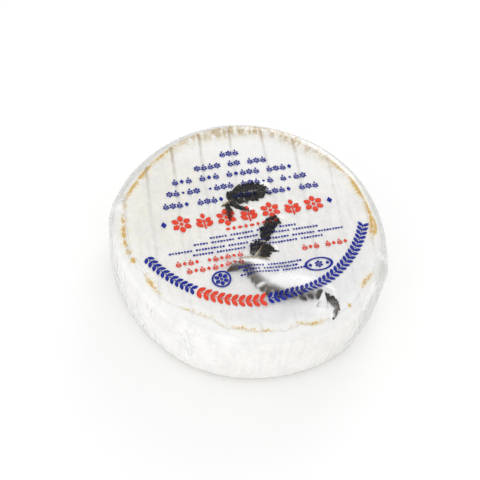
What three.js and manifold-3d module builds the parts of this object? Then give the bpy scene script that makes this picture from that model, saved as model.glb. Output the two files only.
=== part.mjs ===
import * as THREE from 'three';
import { mergeVertices } from 'three/addons/utils/BufferGeometryUtils.js';
import Module from 'manifold-3d';

// Soft white-rind cheese wheel, shrink-wrapped in thin clear film, with two sprays of dried
// fern lying on its upper face. Millimetres, +Z up. The wheel lies flat on its lower face.

// Wheel
const WHEEL_DIAMETER = 158;
const WHEEL_HEIGHT = 42.5;
const TOP_EDGE_ROUND = 8.3;
const BASE_EDGE_ROUND = 7;
const SIDE_BULGE = 0.8;
const FACE_DISH = 0.5;
const FACE_RIPPLE = 0.22;
const SEGMENTS_AROUND = 90;
const FACE_RINGS = 7;
const EDGE_RINGS = 5;
const SIDE_RINGS = 5;

// How the outline departs from a circle: waves round the rim, their rise and where they peak
const OUT_OF_ROUND = [
  { waves: 2, rise: 1.35, peak: -52 },
  { waves: 3, rise: 0.4, peak: -42 },
  { waves: 4, rise: 0.47, peak: -9 },
  { waves: 5, rise: 0.48, peak: 40 },
];

// Folded corners of the film that stand off the rim: direction, rise, width and height range
const FILM_CORNERS = [
  { azimuth: 184, rise: 1.3, width: 9, level: 37, reach: 8 },
  { azimuth: 347, rise: 1.6, width: 10, level: 35, reach: 10 },
];

// Fern
const BLADE_THICKNESS = 0.5;
const BLADE_GAP = 0.4;
const BLADE_WAVE = 0.7;
const BLADE_STEPS = 4;
const STALK_WIDTH = 1;
const STALK_THICKNESS = 0.9;
const STALK_STEP = 3;

// Each spray is a stalk through a few points, with leaflets on both sides of it.
// reach is the longest leaflet, lean its angle from the stalk, near and far the stretch
// of the stalk that carries leaflets, bias how much longer they are on its left than its right
const UPPER_SPRAY = {
  stalk: [[-17.5, 11], [-10.2, 17.9], [-3.4, 21.7], [3.1, 24.2], [9, 23.3]],
  pairs: 7,
  reach: 8.2,
  width: 4.8,
  lean: 66,
  near: 0.1,
  far: 0.76,
  bias: 0.16,
};
const UPPER_LEAFLETS = [
  { from: [-15.7, 12.6], to: [-11.9, 0.4], width: 4 },
  { from: [-14.4, 13], to: [-2.1, 9.5], width: 3.3 },
  { from: [-14.6, 13.4], to: [-18.6, 10], width: 2 },
];
const TIP_SPRAY = {
  stalk: [[8.4, -13], [8.8, -7], [9.3, -2.5], [11, 2], [13.4, 6]],
  pairs: 5,
  reach: 5.4,
  width: 3.6,
  lean: 52,
  near: 0.12,
  far: 0.96,
};
const MIDDLE_SPRAY = {
  stalk: [[4.3, -22.6], [6.6, -17.4], [8.4, -12]],
  pairs: 4,
  reach: 8.6,
  width: 5,
  lean: 66,
  near: 0.12,
  far: 0.92,
};
const TRAILING_SPRAY = {
  stalk: [
    [4.3, -22.4], [1.2, -28], [4.6, -35], [10.4, -41], [19, -44.2],
    [30, -44], [41, -42.6], [49, -44.6], [52.4, -50.4],
  ],
  pairs: 11,
  reach: 4.8,
  width: 3.8,
  lean: 48,
  near: 0.06,
  far: 0.9,
};
const LOWER_LEAFLETS = [
  { from: [-0.6, -25.6], to: [-9.4, -32], width: 5.6 },
  { from: [11, -22], to: [16.8, -14.6], width: 3 },
  { from: [13.4, -21.4], to: [-4.2, -25], width: 1.2 },
  { from: [46.6, -42.6], to: [53.6, -50.6], width: 5 },
  { from: [52.2, -48.6], to: [50.2, -56], width: 3 },
];

const FILM_WHITE = 0xf1f0ea;
const DRIED_FERN = 0x1f1c13;

const wasm = await Module();
wasm.setup();

const degrees = THREE.MathUtils.degToRad;

// Repeatable uneven number between -1 and 1
function uneven(seed) {
  const wave = Math.sin(seed * 12.9898) * 43758.5453;
  return 2 * (wave - Math.floor(wave)) - 1;
}

// Radial growth of the outline at an angle round the wheel
function outlineGrowth(angle) {
  return OUT_OF_ROUND.reduce(
    (sum, { waves, rise, peak }) => sum + rise * Math.cos(waves * (angle - degrees(peak))),
    0,
  );
}

// Outward push of the folded film corners at an angle and a height
function cornerGrowth(angle, level) {
  return FILM_CORNERS.reduce((sum, corner) => {
    const turn = Math.atan2(
      Math.sin(angle - degrees(corner.azimuth)),
      Math.cos(angle - degrees(corner.azimuth)),
    );
    const along = turn / degrees(corner.width);
    const up = (level - corner.level) / corner.reach;
    return sum + corner.rise * Math.exp(-along * along - up * up);
  }, 0);
}

// Rise and fall of the upper face, none at the rim
function faceRelief(x, y) {
  const inward = THREE.MathUtils.clamp(1 - Math.hypot(x, y) / (WHEEL_DIAMETER / 2), 0, 1);
  const dish = -FACE_DISH * Math.min(1, inward * 2.5);
  const ripple = Math.sin(x / 9.5 + 0.6) * Math.cos(y / 12 - 0.4) + Math.sin(x / 21 + y / 17);
  return dish + FACE_RIPPLE * ripple * Math.min(1, inward * 6);
}

// Height of the upper surface over a point of the plan, round edge included
function surfaceHeight(x, y) {
  const angle = Math.atan2(y, x);
  const stretch = 1 + (2 * outlineGrowth(angle)) / WHEEL_DIAMETER;
  const radius = Math.hypot(x, y) / stretch;
  const past = radius - (WHEEL_DIAMETER / 2 - TOP_EDGE_ROUND);
  const drop = past > 0 ? TOP_EDGE_ROUND - Math.sqrt(Math.max(0, TOP_EDGE_ROUND ** 2 - past ** 2)) : 0;
  return WHEEL_HEIGHT - drop + faceRelief(x, y);
}

// Half section of the wheel, from the middle of the base to the middle of the face
function wheelProfile() {
  const radius = WHEEL_DIAMETER / 2;
  const points = [new THREE.Vector2(0, 0)];
  for (let i = 0; i <= EDGE_RINGS; i += 1) {
    const turn = degrees(-90 + (90 * i) / EDGE_RINGS);
    points.push(new THREE.Vector2(
      radius - BASE_EDGE_ROUND + BASE_EDGE_ROUND * Math.cos(turn),
      BASE_EDGE_ROUND + BASE_EDGE_ROUND * Math.sin(turn),
    ));
  }
  const straight = WHEEL_HEIGHT - TOP_EDGE_ROUND - BASE_EDGE_ROUND;
  for (let i = 1; i < SIDE_RINGS; i += 1) {
    const part = i / SIDE_RINGS;
    points.push(new THREE.Vector2(
      radius + SIDE_BULGE * Math.sin(Math.PI * part),
      BASE_EDGE_ROUND + straight * part,
    ));
  }
  for (let i = 0; i <= EDGE_RINGS; i += 1) {
    const turn = degrees((90 * i) / EDGE_RINGS);
    points.push(new THREE.Vector2(
      radius - TOP_EDGE_ROUND + TOP_EDGE_ROUND * Math.cos(turn),
      WHEEL_HEIGHT - TOP_EDGE_ROUND + TOP_EDGE_ROUND * Math.sin(turn),
    ));
  }
  for (let i = FACE_RINGS - 1; i >= 0; i -= 1) {
    points.push(new THREE.Vector2(((radius - TOP_EDGE_ROUND) * i) / FACE_RINGS, WHEEL_HEIGHT));
  }
  return points;
}

// The wheel as wrapped: a lathe form pushed out of round, with a soft uneven face
function wheelGeometry() {
  const geometry = new THREE.LatheGeometry(wheelProfile(), SEGMENTS_AROUND);
  geometry.rotateX(Math.PI / 2);
  const position = geometry.attributes.position;
  for (let i = 0; i < position.count; i += 1) {
    const level = position.getZ(i);
    const radius = Math.hypot(position.getX(i), position.getY(i));
    const angle = Math.atan2(position.getY(i), position.getX(i));
    const share = radius / (WHEEL_DIAMETER / 2);
    const rim = THREE.MathUtils.smoothstep(share, 0.9, 1);
    const grown = radius + share * outlineGrowth(angle) + rim * cornerGrowth(angle, level);
    const x = grown * Math.cos(angle);
    const y = grown * Math.sin(angle);
    const onFace = THREE.MathUtils.smoothstep(level, WHEEL_HEIGHT / 2, WHEEL_HEIGHT);
    position.setXYZ(i, x, y, level + onFace * faceRelief(x, y));
  }
  return geometry;
}

// Closed thin sheet: place gives the under side for u along and v across, the upper side
// lies a thickness above it and is split into the same triangles
function thinSheet(steps, across, thickness, place) {
  const plan = new THREE.PlaneGeometry(1, 1, steps, across);
  const count = plan.attributes.position.count;
  const points = [];
  for (const lift of [thickness, 0]) {
    for (let i = 0; i < count; i += 1) {
      const u = plan.attributes.position.getX(i) + 0.5;
      const v = plan.attributes.position.getY(i) * 2;
      const low = place(u, v);
      points.push(low.x, low.y, low.z + lift);
    }
  }
  const faces = [...plan.index.array];
  for (let i = 0; i < plan.index.count; i += 3) {
    const [a, b, c] = plan.index.array.slice(i, i + 3);
    faces.push(a + count, c + count, b + count);
  }
  const row = steps + 1;
  const border = [];
  for (let i = 0; i < steps; i += 1) border.push(i);
  for (let j = 0; j < across; j += 1) border.push(steps + j * row);
  for (let i = steps; i > 0; i -= 1) border.push(across * row + i);
  for (let j = across; j > 0; j -= 1) border.push(j * row);
  border.forEach((near, k) => {
    const next = border[(k + 1) % border.length];
    faces.push(near, next, near + count);
    faces.push(next, next + count, near + count);
  });
  const geometry = new THREE.BufferGeometry();
  geometry.setAttribute('position', new THREE.Float32BufferAttribute(points, 3));
  geometry.setIndex(faces);
  return geometry;
}

// One leaflet: narrow at both ends, waved along and curled up at its sides
function leaflet({ from, to, width }, seed) {
  const start = new THREE.Vector2(...from);
  const along = new THREE.Vector2(...to).sub(start);
  const side = new THREE.Vector2(-along.y, along.x).normalize();
  const bow = 0.08 * along.length() * uneven(seed);
  const phase = 3 * uneven(seed + 0.5);
  return thinSheet(BLADE_STEPS, 2, BLADE_THICKNESS, (u, v) => {
    const half = 0.5 * width * Math.max(0.14, Math.sin(Math.PI * (0.1 + 0.88 * u)));
    const offset = v * half + bow * Math.sin(Math.PI * u);
    const x = start.x + along.x * u + side.x * offset;
    const y = start.y + along.y * u + side.y * offset;
    const wave = 0.5 * BLADE_WAVE * (1 + Math.sin(phase + 4 * u)) * u;
    const curl = 0.12 * half * v * v;
    return new THREE.Vector3(x, y, surfaceHeight(x, y) + BLADE_GAP + wave + curl);
  });
}

// The stalk of a spray: a narrow strip that follows the face
function stalk(curve) {
  const steps = Math.max(2, Math.round(curve.getLength() / STALK_STEP));
  return thinSheet(steps, 1, STALK_THICKNESS, (u, v) => {
    const point = curve.getPointAt(u);
    const heading = curve.getTangentAt(u);
    const half = 0.5 * STALK_WIDTH * (1 - 0.4 * u);
    const x = point.x - heading.y * v * half;
    const y = point.y + heading.x * v * half;
    return new THREE.Vector3(x, y, surfaceHeight(x, y) + BLADE_GAP);
  });
}

// Stalk and paired leaflets of one spray, leaflets longest at the middle of the stalk
function spray({ stalk: route, pairs, reach, width, lean, near, far, bias = 0 }, seed) {
  const curve = new THREE.SplineCurve(route.map(([x, y]) => new THREE.Vector2(x, y)));
  const pieces = [stalk(curve)];
  for (let i = 0; i < pairs; i += 1) {
    const part = i / (pairs - 1);
    const heading = curve.getTangentAt(near + (far - near) * part);
    const base = curve.getPointAt(near + (far - near) * part);
    for (const side of [-1, 1]) {
      const roll = seed + i * 2 + side;
      const taper = 0.45 + 0.55 * Math.sin(Math.PI * (0.15 + 0.8 * part));
      const long = reach * taper * (1 + side * bias) * (1 + 0.18 * uneven(roll));
      const turn = side * degrees(lean + 9 * uneven(roll + 0.3));
      const way = heading.clone().rotateAround(new THREE.Vector2(), turn);
      const tip = base.clone().addScaledVector(way, long);
      const piece = { from: base.toArray(), to: tip.toArray(), width: width * (0.7 + 0.3 * taper) };
      pieces.push(leaflet(piece, roll));
    }
  }
  return pieces;
}

// Closed solid from a geometry whose shared corners are joined
function solidOf(geometry) {
  const joined = mergeVertices(geometry, 1e-5);
  const vertProperties = new Float32Array(joined.attributes.position.array);
  const triVerts = new Uint32Array(joined.index.array);
  return new wasm.Manifold(new wasm.Mesh({ numProp: 3, vertProperties, triVerts }));
}

// Many overlapping pieces made into one closed geometry: the largest shell is the body,
// and the small pockets and scraps that crossing leaflets leave are dropped
function fused(pieces) {
  const shells = pieces.map(solidOf).reduce((sum, piece) => sum.add(piece)).decompose();
  const body = shells.reduce((best, shell) => (shell.volume() > best.volume() ? shell : best));
  const { vertProperties, triVerts } = body.getMesh();
  const geometry = new THREE.BufferGeometry();
  geometry.setAttribute('position', new THREE.Float32BufferAttribute(vertProperties, 3));
  geometry.setIndex([...triVerts]);
  geometry.computeVertexNormals();
  return geometry;
}

function namedMesh(name, geometry, color, roughness) {
  const material = new THREE.MeshStandardMaterial({ color, roughness, metalness: 0 });
  const mesh = new THREE.Mesh(geometry, material);
  mesh.name = name;
  return mesh;
}

const upperFern = [
  ...spray(UPPER_SPRAY, 3),
  ...UPPER_LEAFLETS.map((piece, i) => leaflet(piece, 70 + i)),
];
const lowerFern = [
  ...spray(TIP_SPRAY, 101),
  ...spray(MIDDLE_SPRAY, 151),
  ...spray(TRAILING_SPRAY, 201),
  ...LOWER_LEAFLETS.map((piece, i) => leaflet(piece, 270 + i)),
];

const group = new THREE.Group();
const wheel = namedMesh('cheese_wheel', wheelGeometry(), FILM_WHITE, 0.4);
group.add(wheel);
group.add(namedMesh('fern_upper', fused(upperFern), DRIED_FERN, 0.7));
group.add(namedMesh('fern_lower', fused(lowerFern), DRIED_FERN, 0.7));

// The origin is under the middle of the wheel's bounding box
wheel.geometry.computeBoundingBox();
const middle = wheel.geometry.boundingBox.getCenter(new THREE.Vector3());
group.position.set(-middle.x, -middle.y, 0);

export default group;
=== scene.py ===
"""Looks of a soft white-rind cheese wheel in clear printed film, with dried fern on its face.

Sizes in the classes are millimetres in the plan of the wheel, x to the right and y away from
the camera, with z up from the surface that it lies on. MM turns them into the frame's metres.
"""
import sys
import logging
import math
import random
from dataclasses import dataclass, field
from enum import Enum
from typing import Callable, Iterable, NamedTuple, Sequence

import bmesh
import bpy
import numpy as np
from mathutils import Matrix, Vector
from mathutils.bvhtree import BVHTree


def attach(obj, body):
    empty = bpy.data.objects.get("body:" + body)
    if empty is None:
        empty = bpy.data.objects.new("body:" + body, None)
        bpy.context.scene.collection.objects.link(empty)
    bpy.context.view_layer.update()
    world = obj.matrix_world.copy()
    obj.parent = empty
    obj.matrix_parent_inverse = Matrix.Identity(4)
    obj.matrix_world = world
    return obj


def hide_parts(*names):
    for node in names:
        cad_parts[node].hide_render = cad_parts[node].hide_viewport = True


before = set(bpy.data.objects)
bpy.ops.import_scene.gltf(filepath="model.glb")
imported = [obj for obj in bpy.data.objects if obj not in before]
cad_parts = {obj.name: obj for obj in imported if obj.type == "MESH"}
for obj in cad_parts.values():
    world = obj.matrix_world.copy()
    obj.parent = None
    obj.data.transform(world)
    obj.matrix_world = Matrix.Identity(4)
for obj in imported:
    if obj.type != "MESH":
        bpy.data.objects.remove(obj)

MM = 0.001
SEED = 11
Plan = tuple[float, float]
Colour = tuple[float, float, float, float]

log = logging.getLogger("cheese_wheel")


def smoothstep(low: float, high: float, value: np.ndarray | float) -> np.ndarray:
    """Soft step from 0 at low to 1 at high.

    Args:
        low: where the step starts.
        high: where it ends.
        value: one number or an array.

    Returns:
        The step's height at each value.
    """
    part = np.clip((np.asarray(value, float) - low) / (high - low), 0, 1)
    return part * part * (3 - 2 * part)


def bell(value: np.ndarray | float, middle: float, width: float) -> np.ndarray:
    """Bell curve of height 1 about middle."""
    return np.exp(-(((np.asarray(value, float) - middle) / width) ** 2))


def turn_from(angle: np.ndarray, degrees: float) -> np.ndarray:
    """Signed angle in degrees between angle, in radians, and a direction in degrees."""
    gap = np.asarray(angle) - math.radians(degrees)
    return np.degrees(np.arctan2(np.sin(gap), np.cos(gap)))


@dataclass(frozen=True)
class Wave:
    """One wave of the outline: how many round the rim, its rise and where it peaks."""

    waves: int
    rise: float
    peak: float


@dataclass(frozen=True)
class FilmCorner:
    """A folded corner of the film that stands off the rim."""

    azimuth: float
    rise: float
    width: float
    level: float
    reach: float


@dataclass
class WheelForm:
    """Form of the wrapped wheel, the one that its solid has."""

    diameter: float = 158
    height: float = 42.5
    top_round: float = 8.3
    base_round: float = 7
    bulge: float = 0.8
    dish: float = 0.5
    ripple: float = 0.22
    outline: tuple[Wave, ...] = (
        Wave(2, 1.35, -52), Wave(3, 0.4, -42), Wave(4, 0.47, -9), Wave(5, 0.48, 40),
    )
    corners: tuple[FilmCorner, ...] = (
        FilmCorner(184, 1.3, 9, 37, 8), FilmCorner(347, 1.6, 10, 35, 10),
    )

    @property
    def radius(self) -> float:
        """Half of the diameter."""
        return self.diameter / 2

    def growth(self, angle: np.ndarray) -> np.ndarray:
        """How far the outline stands out of its circle at an angle."""
        return sum(w.rise * np.cos(w.waves * (angle - math.radians(w.peak))) for w in self.outline)

    def corner_growth(self, angle: np.ndarray, level: np.ndarray) -> np.ndarray:
        """How far the folded corners stand out.

        Args:
            angle: round the axis, in radians.
            level: height of each point.

        Returns:
            The added radius at each point.
        """
        total = np.zeros_like(np.asarray(level, float))
        for c in self.corners:
            along = turn_from(angle, c.azimuth) / c.width
            total = total + c.rise * np.exp(-along ** 2 - ((level - c.level) / c.reach) ** 2)
        return total

    def relief(self, x: np.ndarray, y: np.ndarray) -> np.ndarray:
        """Rise and fall of the upper face, none at the rim.

        Args:
            x: place across the face.
            y: place away from the camera.

        Returns:
            Height above the flat face.
        """
        inward = np.clip(1 - np.hypot(x, y) / self.radius, 0, 1)
        ripple = np.sin(x / 9.5 + 0.6) * np.cos(y / 12 - 0.4) + np.sin(x / 21 + y / 17)
        dish = -self.dish * np.minimum(1, inward * 2.5)
        return dish + self.ripple * ripple * np.minimum(1, inward * 6)

    def surface(self, x: np.ndarray, y: np.ndarray) -> np.ndarray:
        """Height of the upper surface, round edge included.

        Args:
            x: place across the face.
            y: place away from the camera.

        Returns:
            Height above the floor.
        """
        stretch = 1 + self.growth(np.arctan2(y, x)) / self.radius
        past = np.maximum(np.hypot(x, y) / stretch - (self.radius - self.top_round), 0)
        drop = self.top_round - np.sqrt(np.maximum(self.top_round ** 2 - past ** 2, 0))
        return self.height - drop + self.relief(x, y)

    def centre(self) -> Plan:
        """Middle of the outline's bounding box, which lies over the frame's origin.

        Returns:
            Its place in the plan.
        """
        angle = np.linspace(0, 2 * math.pi, 720, endpoint=False)
        level = self.height * 0.5
        reach = self.radius + self.bulge + self.growth(angle)
        reach = reach + self.corner_growth(angle, np.full_like(angle, level))
        x, y = reach * np.cos(angle), reach * np.sin(angle)
        return (x.min() + x.max()) / 2, (y.min() + y.max()) / 2


@dataclass(frozen=True)
class Ring:
    """Detail of a spun profile: how many steps each stretch has."""

    around: int
    face: int
    edge: int
    side: int
    base: int


@dataclass
class Spun:
    """A body of the wheel's form, spun from a half section."""

    form: WheelForm
    rings: Ring

    def section(self) -> list[Plan]:
        """Half section from the middle of the base to the middle of the face.

        Returns:
            Pairs of radius and height.
        """
        form, rings = self.form, self.rings
        radius = form.radius
        points = [(radius - form.base_round) * i / rings.base for i in range(rings.base)]
        section = [(r, 0.0) for r in points]
        for i in range(rings.edge + 1):
            turn = math.radians(-90 + 90 * i / rings.edge)
            section.append((
                radius - form.base_round * (1 - math.cos(turn)),
                form.base_round * (1 + math.sin(turn)),
            ))
        straight = form.height - form.top_round - form.base_round
        for i in range(1, rings.side):
            part = i / rings.side
            swell = form.bulge * math.sin(math.pi * part)
            section.append((radius + swell, form.base_round + straight * part))
        for i in range(rings.edge + 1):
            turn = math.radians(90 * i / rings.edge)
            section.append((
                radius - form.top_round * (1 - math.cos(turn)),
                form.height - form.top_round * (1 - math.sin(turn)),
            ))
        inner = radius - form.top_round
        section += [(inner * i / rings.face, form.height) for i in range(rings.face - 1, -1, -1)]
        return section

    def spin(self, name: str) -> bpy.types.Object:
        """Turns the half section round the axis into a closed mesh.

        Args:
            name: the piece's name.

        Returns:
            The piece, still a true body of revolution, in millimetres.
        """
        bm = bmesh.new()
        verts = [bm.verts.new((r, 0, z)) for r, z in self.section()]
        edges = [bm.edges.new(pair) for pair in zip(verts, verts[1:])]
        bmesh.ops.spin(
            bm, geom=verts + edges, cent=(0, 0, 0), axis=(0, 0, 1), dvec=(0, 0, 0),
            angle=2 * math.pi, steps=self.rings.around, use_merge=True, use_duplicate=False,
        )
        bmesh.ops.remove_doubles(bm, verts=bm.verts, dist=1e-4)
        bmesh.ops.dissolve_degenerate(bm, edges=bm.edges, dist=1e-5)
        bmesh.ops.recalc_face_normals(bm, faces=bm.faces)
        return new_piece(name, bm)


def new_piece(name: str, bm: bmesh.types.BMesh) -> bpy.types.Object:
    """Makes an object of a bmesh, smooth shaded, and links it to the scene.

    Args:
        name: the piece's name.
        bm: its mesh, which is freed.

    Returns:
        The new object at the origin.
    """
    for face in bm.faces:
        face.smooth = True
    mesh = bpy.data.meshes.new(name)
    bm.to_mesh(mesh)
    bm.free()
    piece = bpy.data.objects.new(name, mesh)
    bpy.context.scene.collection.objects.link(piece)
    return piece


def read_points(mesh: bpy.types.Mesh) -> np.ndarray:
    """Reads where a mesh's vertices are.

    Args:
        mesh: the mesh.

    Returns:
        A row of x, y and z for each vertex.
    """
    points = np.empty(len(mesh.vertices) * 3)
    mesh.vertices.foreach_get("co", points)
    return points.reshape(-1, 3)


def write_points(mesh: bpy.types.Mesh, points: np.ndarray) -> None:
    """Puts the mesh's vertices at the given rows of x, y and z."""
    mesh.vertices.foreach_set("co", points.astype(np.float32).ravel())
    mesh.update()


def store(mesh: bpy.types.Mesh, name: str, values: np.ndarray) -> None:
    """Keeps one number, or one vector, for each vertex as an attribute that a finish can read.

    Args:
        mesh: the piece's mesh.
        name: the attribute's name.
        values: a row of numbers, or rows of three.
    """
    vector = values.ndim == 2
    layer = mesh.attributes.new(name, "FLOAT_VECTOR" if vector else "FLOAT", "POINT")
    layer.data.foreach_set("vector" if vector else "value", values.astype(np.float32).ravel())


def place(piece: bpy.types.Object, centre: Plan) -> None:
    """Moves a mesh in millimetres of the plan to its place in the frame, in metres."""
    shift = Matrix.Translation((-centre[0], -centre[1], 0))
    piece.data.transform(Matrix.Scale(MM, 4) @ shift)


class Grain(NamedTuple):
    """A noise pattern: its scale, detail, roughness and distortion."""

    scale: float
    detail: float = 3
    rough: float = 0.5
    distortion: float = 0


class Nodes:
    """A material's or a group's node tree, with short ways to add to it."""

    def __init__(self, tree: bpy.types.NodeTree) -> None:
        """Keeps the tree.

        Args:
            tree: the tree that the nodes go into.
        """
        self.tree = tree

    def add(self, kind: str, inputs: dict | None = None, **settings: object) -> bpy.types.Node:
        """Adds one node.

        Args:
            kind: the node's type, without the ShaderNode before it.
            inputs: a value or an output socket for each input, by name or number.
            settings: the node's own properties.

        Returns:
            The node.
        """
        node = self.tree.nodes.new("ShaderNode" + kind)
        for key, value in settings.items():
            setattr(node, key, value)
        for key, value in (inputs or {}).items():
            if isinstance(value, bpy.types.NodeSocket):
                self.tree.links.new(value, node.inputs[key])
            else:
                node.inputs[key].default_value = value
        return node

    def math(self, operation: str, *values: object, clamp: bool = False) -> bpy.types.NodeSocket:
        """Adds a Math node and gives its result."""
        node = self.add("Math", dict(enumerate(values)), operation=operation, use_clamp=clamp)
        return node.outputs[0]

    def step(self, value: object, low: float, high: float, to: Plan = (0, 1)) -> bpy.types.NodeSocket:
        """Adds a soft step of value from low to high, between the two numbers of to."""
        node = self.add("MapRange", {
            "Value": value, "From Min": low, "From Max": high, "To Min": to[0], "To Max": to[1],
        }, interpolation_type="SMOOTHSTEP")
        return node.outputs[0]

    def noise(self, vector: object, grain: Grain) -> bpy.types.NodeSocket:
        """Adds a noise texture and gives its value."""
        node = self.add("TexNoise", {
            "Vector": vector, "Scale": grain.scale, "Detail": grain.detail,
            "Roughness": grain.rough, "Distortion": grain.distortion,
        })
        return node.outputs["Fac"]

    def stretch(self, vector: object, scale: tuple[float, float, float]) -> bpy.types.NodeSocket:
        """Adds a scaling of a vector by three numbers and gives the result."""
        node = self.add("VectorMath", {0: vector, 1: scale}, operation="MULTIPLY")
        return node.outputs[0]

    def crest(self, value: object, width: float) -> bpy.types.NodeSocket:
        """Adds a thin ridge of height 1 where a noise passes its middle value."""
        gap = self.math("ABSOLUTE", self.math("SUBTRACT", value, 0.5))
        return self.step(gap, 0, width, (1, 0))

    def mix(self, share: object, first: object, second: object) -> bpy.types.NodeSocket:
        """Adds a colour mix and gives its colour."""
        node = self.add("Mix", {0: share, 6: first, 7: second}, data_type="RGBA")
        return node.outputs[2]

    def masked(self, mask: object, share: object, first: object, second: object) -> bpy.types.NodeSocket:
        """Adds a colour mix whose share is dimmed by a mask, and gives its colour."""
        return self.mix(self.math("MULTIPLY", mask, share), first, second)

    def value(self, name: str) -> bpy.types.NodeSocket:
        """Reads one of the piece's own attributes, a number for each vertex."""
        return self.add("Attribute", attribute_name=name).outputs["Fac"]

    def vector(self, name: str) -> bpy.types.NodeSocket:
        """Reads one of the piece's own attributes, a vector for each vertex."""
        return self.add("Attribute", attribute_name=name).outputs["Vector"]

    def coordinates(self) -> bpy.types.NodeSocket:
        """Adds a reader of the piece's Object coordinates."""
        return self.add("TexCoord").outputs["Object"]

    def bump(self, height: object, strength: float, distance_mm: float) -> bpy.types.NodeSocket:
        """Adds a bump and gives its normal."""
        node = self.add("Bump", {"Height": height, "Strength": strength, "Distance": distance_mm * MM})
        return node.outputs[0]


def shader_group(name: str, inputs: dict[str, tuple[str, object]], outputs: dict[str, str],
                 build: Callable[[Nodes, bpy.types.Node, bpy.types.Node], None]) -> bpy.types.NodeTree:
    """Makes a shader node group once, or finds it.

    Args:
        name: the group's name.
        inputs: socket type and default value by name.
        outputs: socket type by name.
        build: adds the nodes between the group's input and output nodes.

    Returns:
        The group.
    """
    found = bpy.data.node_groups.get(name)
    if found:
        return found
    tree = bpy.data.node_groups.new(name, "ShaderNodeTree")
    for key, (kind, value) in inputs.items():
        socket = tree.interface.new_socket(key, in_out="INPUT", socket_type="NodeSocket" + kind)
        if kind != "Vector":
            socket.default_value = value
    for key, kind in outputs.items():
        tree.interface.new_socket(key, in_out="OUTPUT", socket_type="NodeSocket" + kind)
    nodes = Nodes(tree)
    start = tree.nodes.new("NodeGroupInput")
    end = tree.nodes.new("NodeGroupOutput")
    build(nodes, start, end)
    return tree


def rubbed_rim_group() -> bpy.types.NodeTree:
    """Group that rubs a ragged line of ochre into the rim, with short ticks across it.

    Returns:
        A group with masks of the rubbed spots and of the pale halo round them.
    """
    across_rim, along_rim = (0.85, 0.85, 0.25), (0.3, 0.3, 0.9)
    raggedness = 5.0

    def build(nodes: Nodes, start: bpy.types.Node, end: bpy.types.Node) -> None:
        """Fills the group.

        Args:
            nodes: the group's nodes.
            start: its input node.
            end: its output node.
        """
        where, away, amount = (start.outputs[key] for key in ("Vector", "Away", "Amount"))
        ticks = nodes.noise(nodes.stretch(where, across_rim), Grain(1, 3, 0.65))
        blots = nodes.noise(nodes.stretch(where, along_rim), Grain(1, 4, 0.6, 0.5))
        wander = nodes.math("MULTIPLY_ADD", ticks, raggedness, -raggedness / 2)
        gap = nodes.math("ABSOLUTE", nodes.math("ADD", away, wander))
        gap = nodes.math("DIVIDE", gap, nodes.math("MULTIPLY_ADD", amount, 0.85, 0.6))
        band = nodes.step(gap, 0.2, 1.6, (1, 0))
        wide = nodes.step(gap, 0.3, 3.4, (1, 0))
        mixed = nodes.math("ADD", nodes.math("MULTIPLY", blots, 0.6), nodes.math("MULTIPLY", ticks, 0.4))
        level = nodes.math("ADD", mixed, nodes.math("MULTIPLY", amount, 0.32))
        spots = nodes.step(level, 0.6, 0.72)
        soft = nodes.step(level, 0.45, 0.8)
        flecks = nodes.step(nodes.noise(where, Grain(1.1, 3, 0.6)), 0.3, 0.55, (0.35, 1))
        rub = nodes.math("MULTIPLY", band, nodes.math("MULTIPLY", spots, flecks))
        halo = nodes.math("MULTIPLY", wide, nodes.math("MULTIPLY", soft, 0.6))
        shows = nodes.step(amount, 0, 0.3)
        for name, mask in (("Rub", rub), ("Halo", halo)):
            nodes.tree.links.new(nodes.math("MULTIPLY", mask, shows), end.inputs[name])

    return shader_group(
        "rubbed rim",
        {"Vector": ("Vector", None), "Away": ("Float", 0.0), "Amount": ("Float", 0.5)},
        {"Rub": "Float", "Halo": "Float"},
        build,
    )


@dataclass(frozen=True)
class RimSpot:
    """One place of the rubbed line round the face: its radius, and how much ochre shows."""

    azimuth: float
    radius: float
    ochre: float


@dataclass(frozen=True)
class MatLine:
    """One groove of the draining mat: its place across, how dark it is and how far it runs."""

    offset: float
    dark: float
    run: float


@dataclass(frozen=True)
class MatLines:
    """Grooves that the draining mat presses into the face, straight and almost parallel."""

    heading: float = -76
    grooves: tuple[MatLine, ...] = (
        MatLine(-70, 0.4, 6), MatLine(-55.3, 1.0, 9), MatLine(-39.4, 1.0, 12),
        MatLine(-22.3, 1.0, 8), MatLine(-4, 1.0, 6), MatLine(15.6, 1.0, 7),
        MatLine(34, 0.9, 8), MatLine(52.5, 0.35, 8), MatLine(68, 0.2, 6),
    )
    half_width: float = 1.6
    depth: float = 0.4

    @property
    def offsets(self) -> tuple[float, ...]:
        """Places of the grooves across their heading."""
        return tuple(groove.offset for groove in self.grooves)

    def darkness(self, x: np.ndarray, y: np.ndarray, radius: float) -> np.ndarray:
        """How dark the nearest groove is, fading away from the far rim.

        Args:
            x: place across the face.
            y: place away from the camera.
            radius: of the face's rim.

        Returns:
            From 0 to 1.
        """
        across, along = self.normal()
        offset = x * across + y * along
        travel = -x * along + y * across
        total = np.zeros_like(offset)
        for groove in self.grooves:
            near = bell(offset, groove.offset, 5)
            start = math.sqrt(max(radius ** 2 - groove.offset ** 2, 0))
            gone = np.maximum(start - travel, 0)
            dark = groove.dark * (0.93 * np.exp(-gone / groove.run) + 0.07 * np.exp(-gone / 50))
            total = np.maximum(total, near * dark)
        return total

    def normal(self) -> Plan:
        """Direction in the plan across the lines."""
        turn = math.radians(self.heading + 90)
        return math.cos(turn), math.sin(turn)


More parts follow.
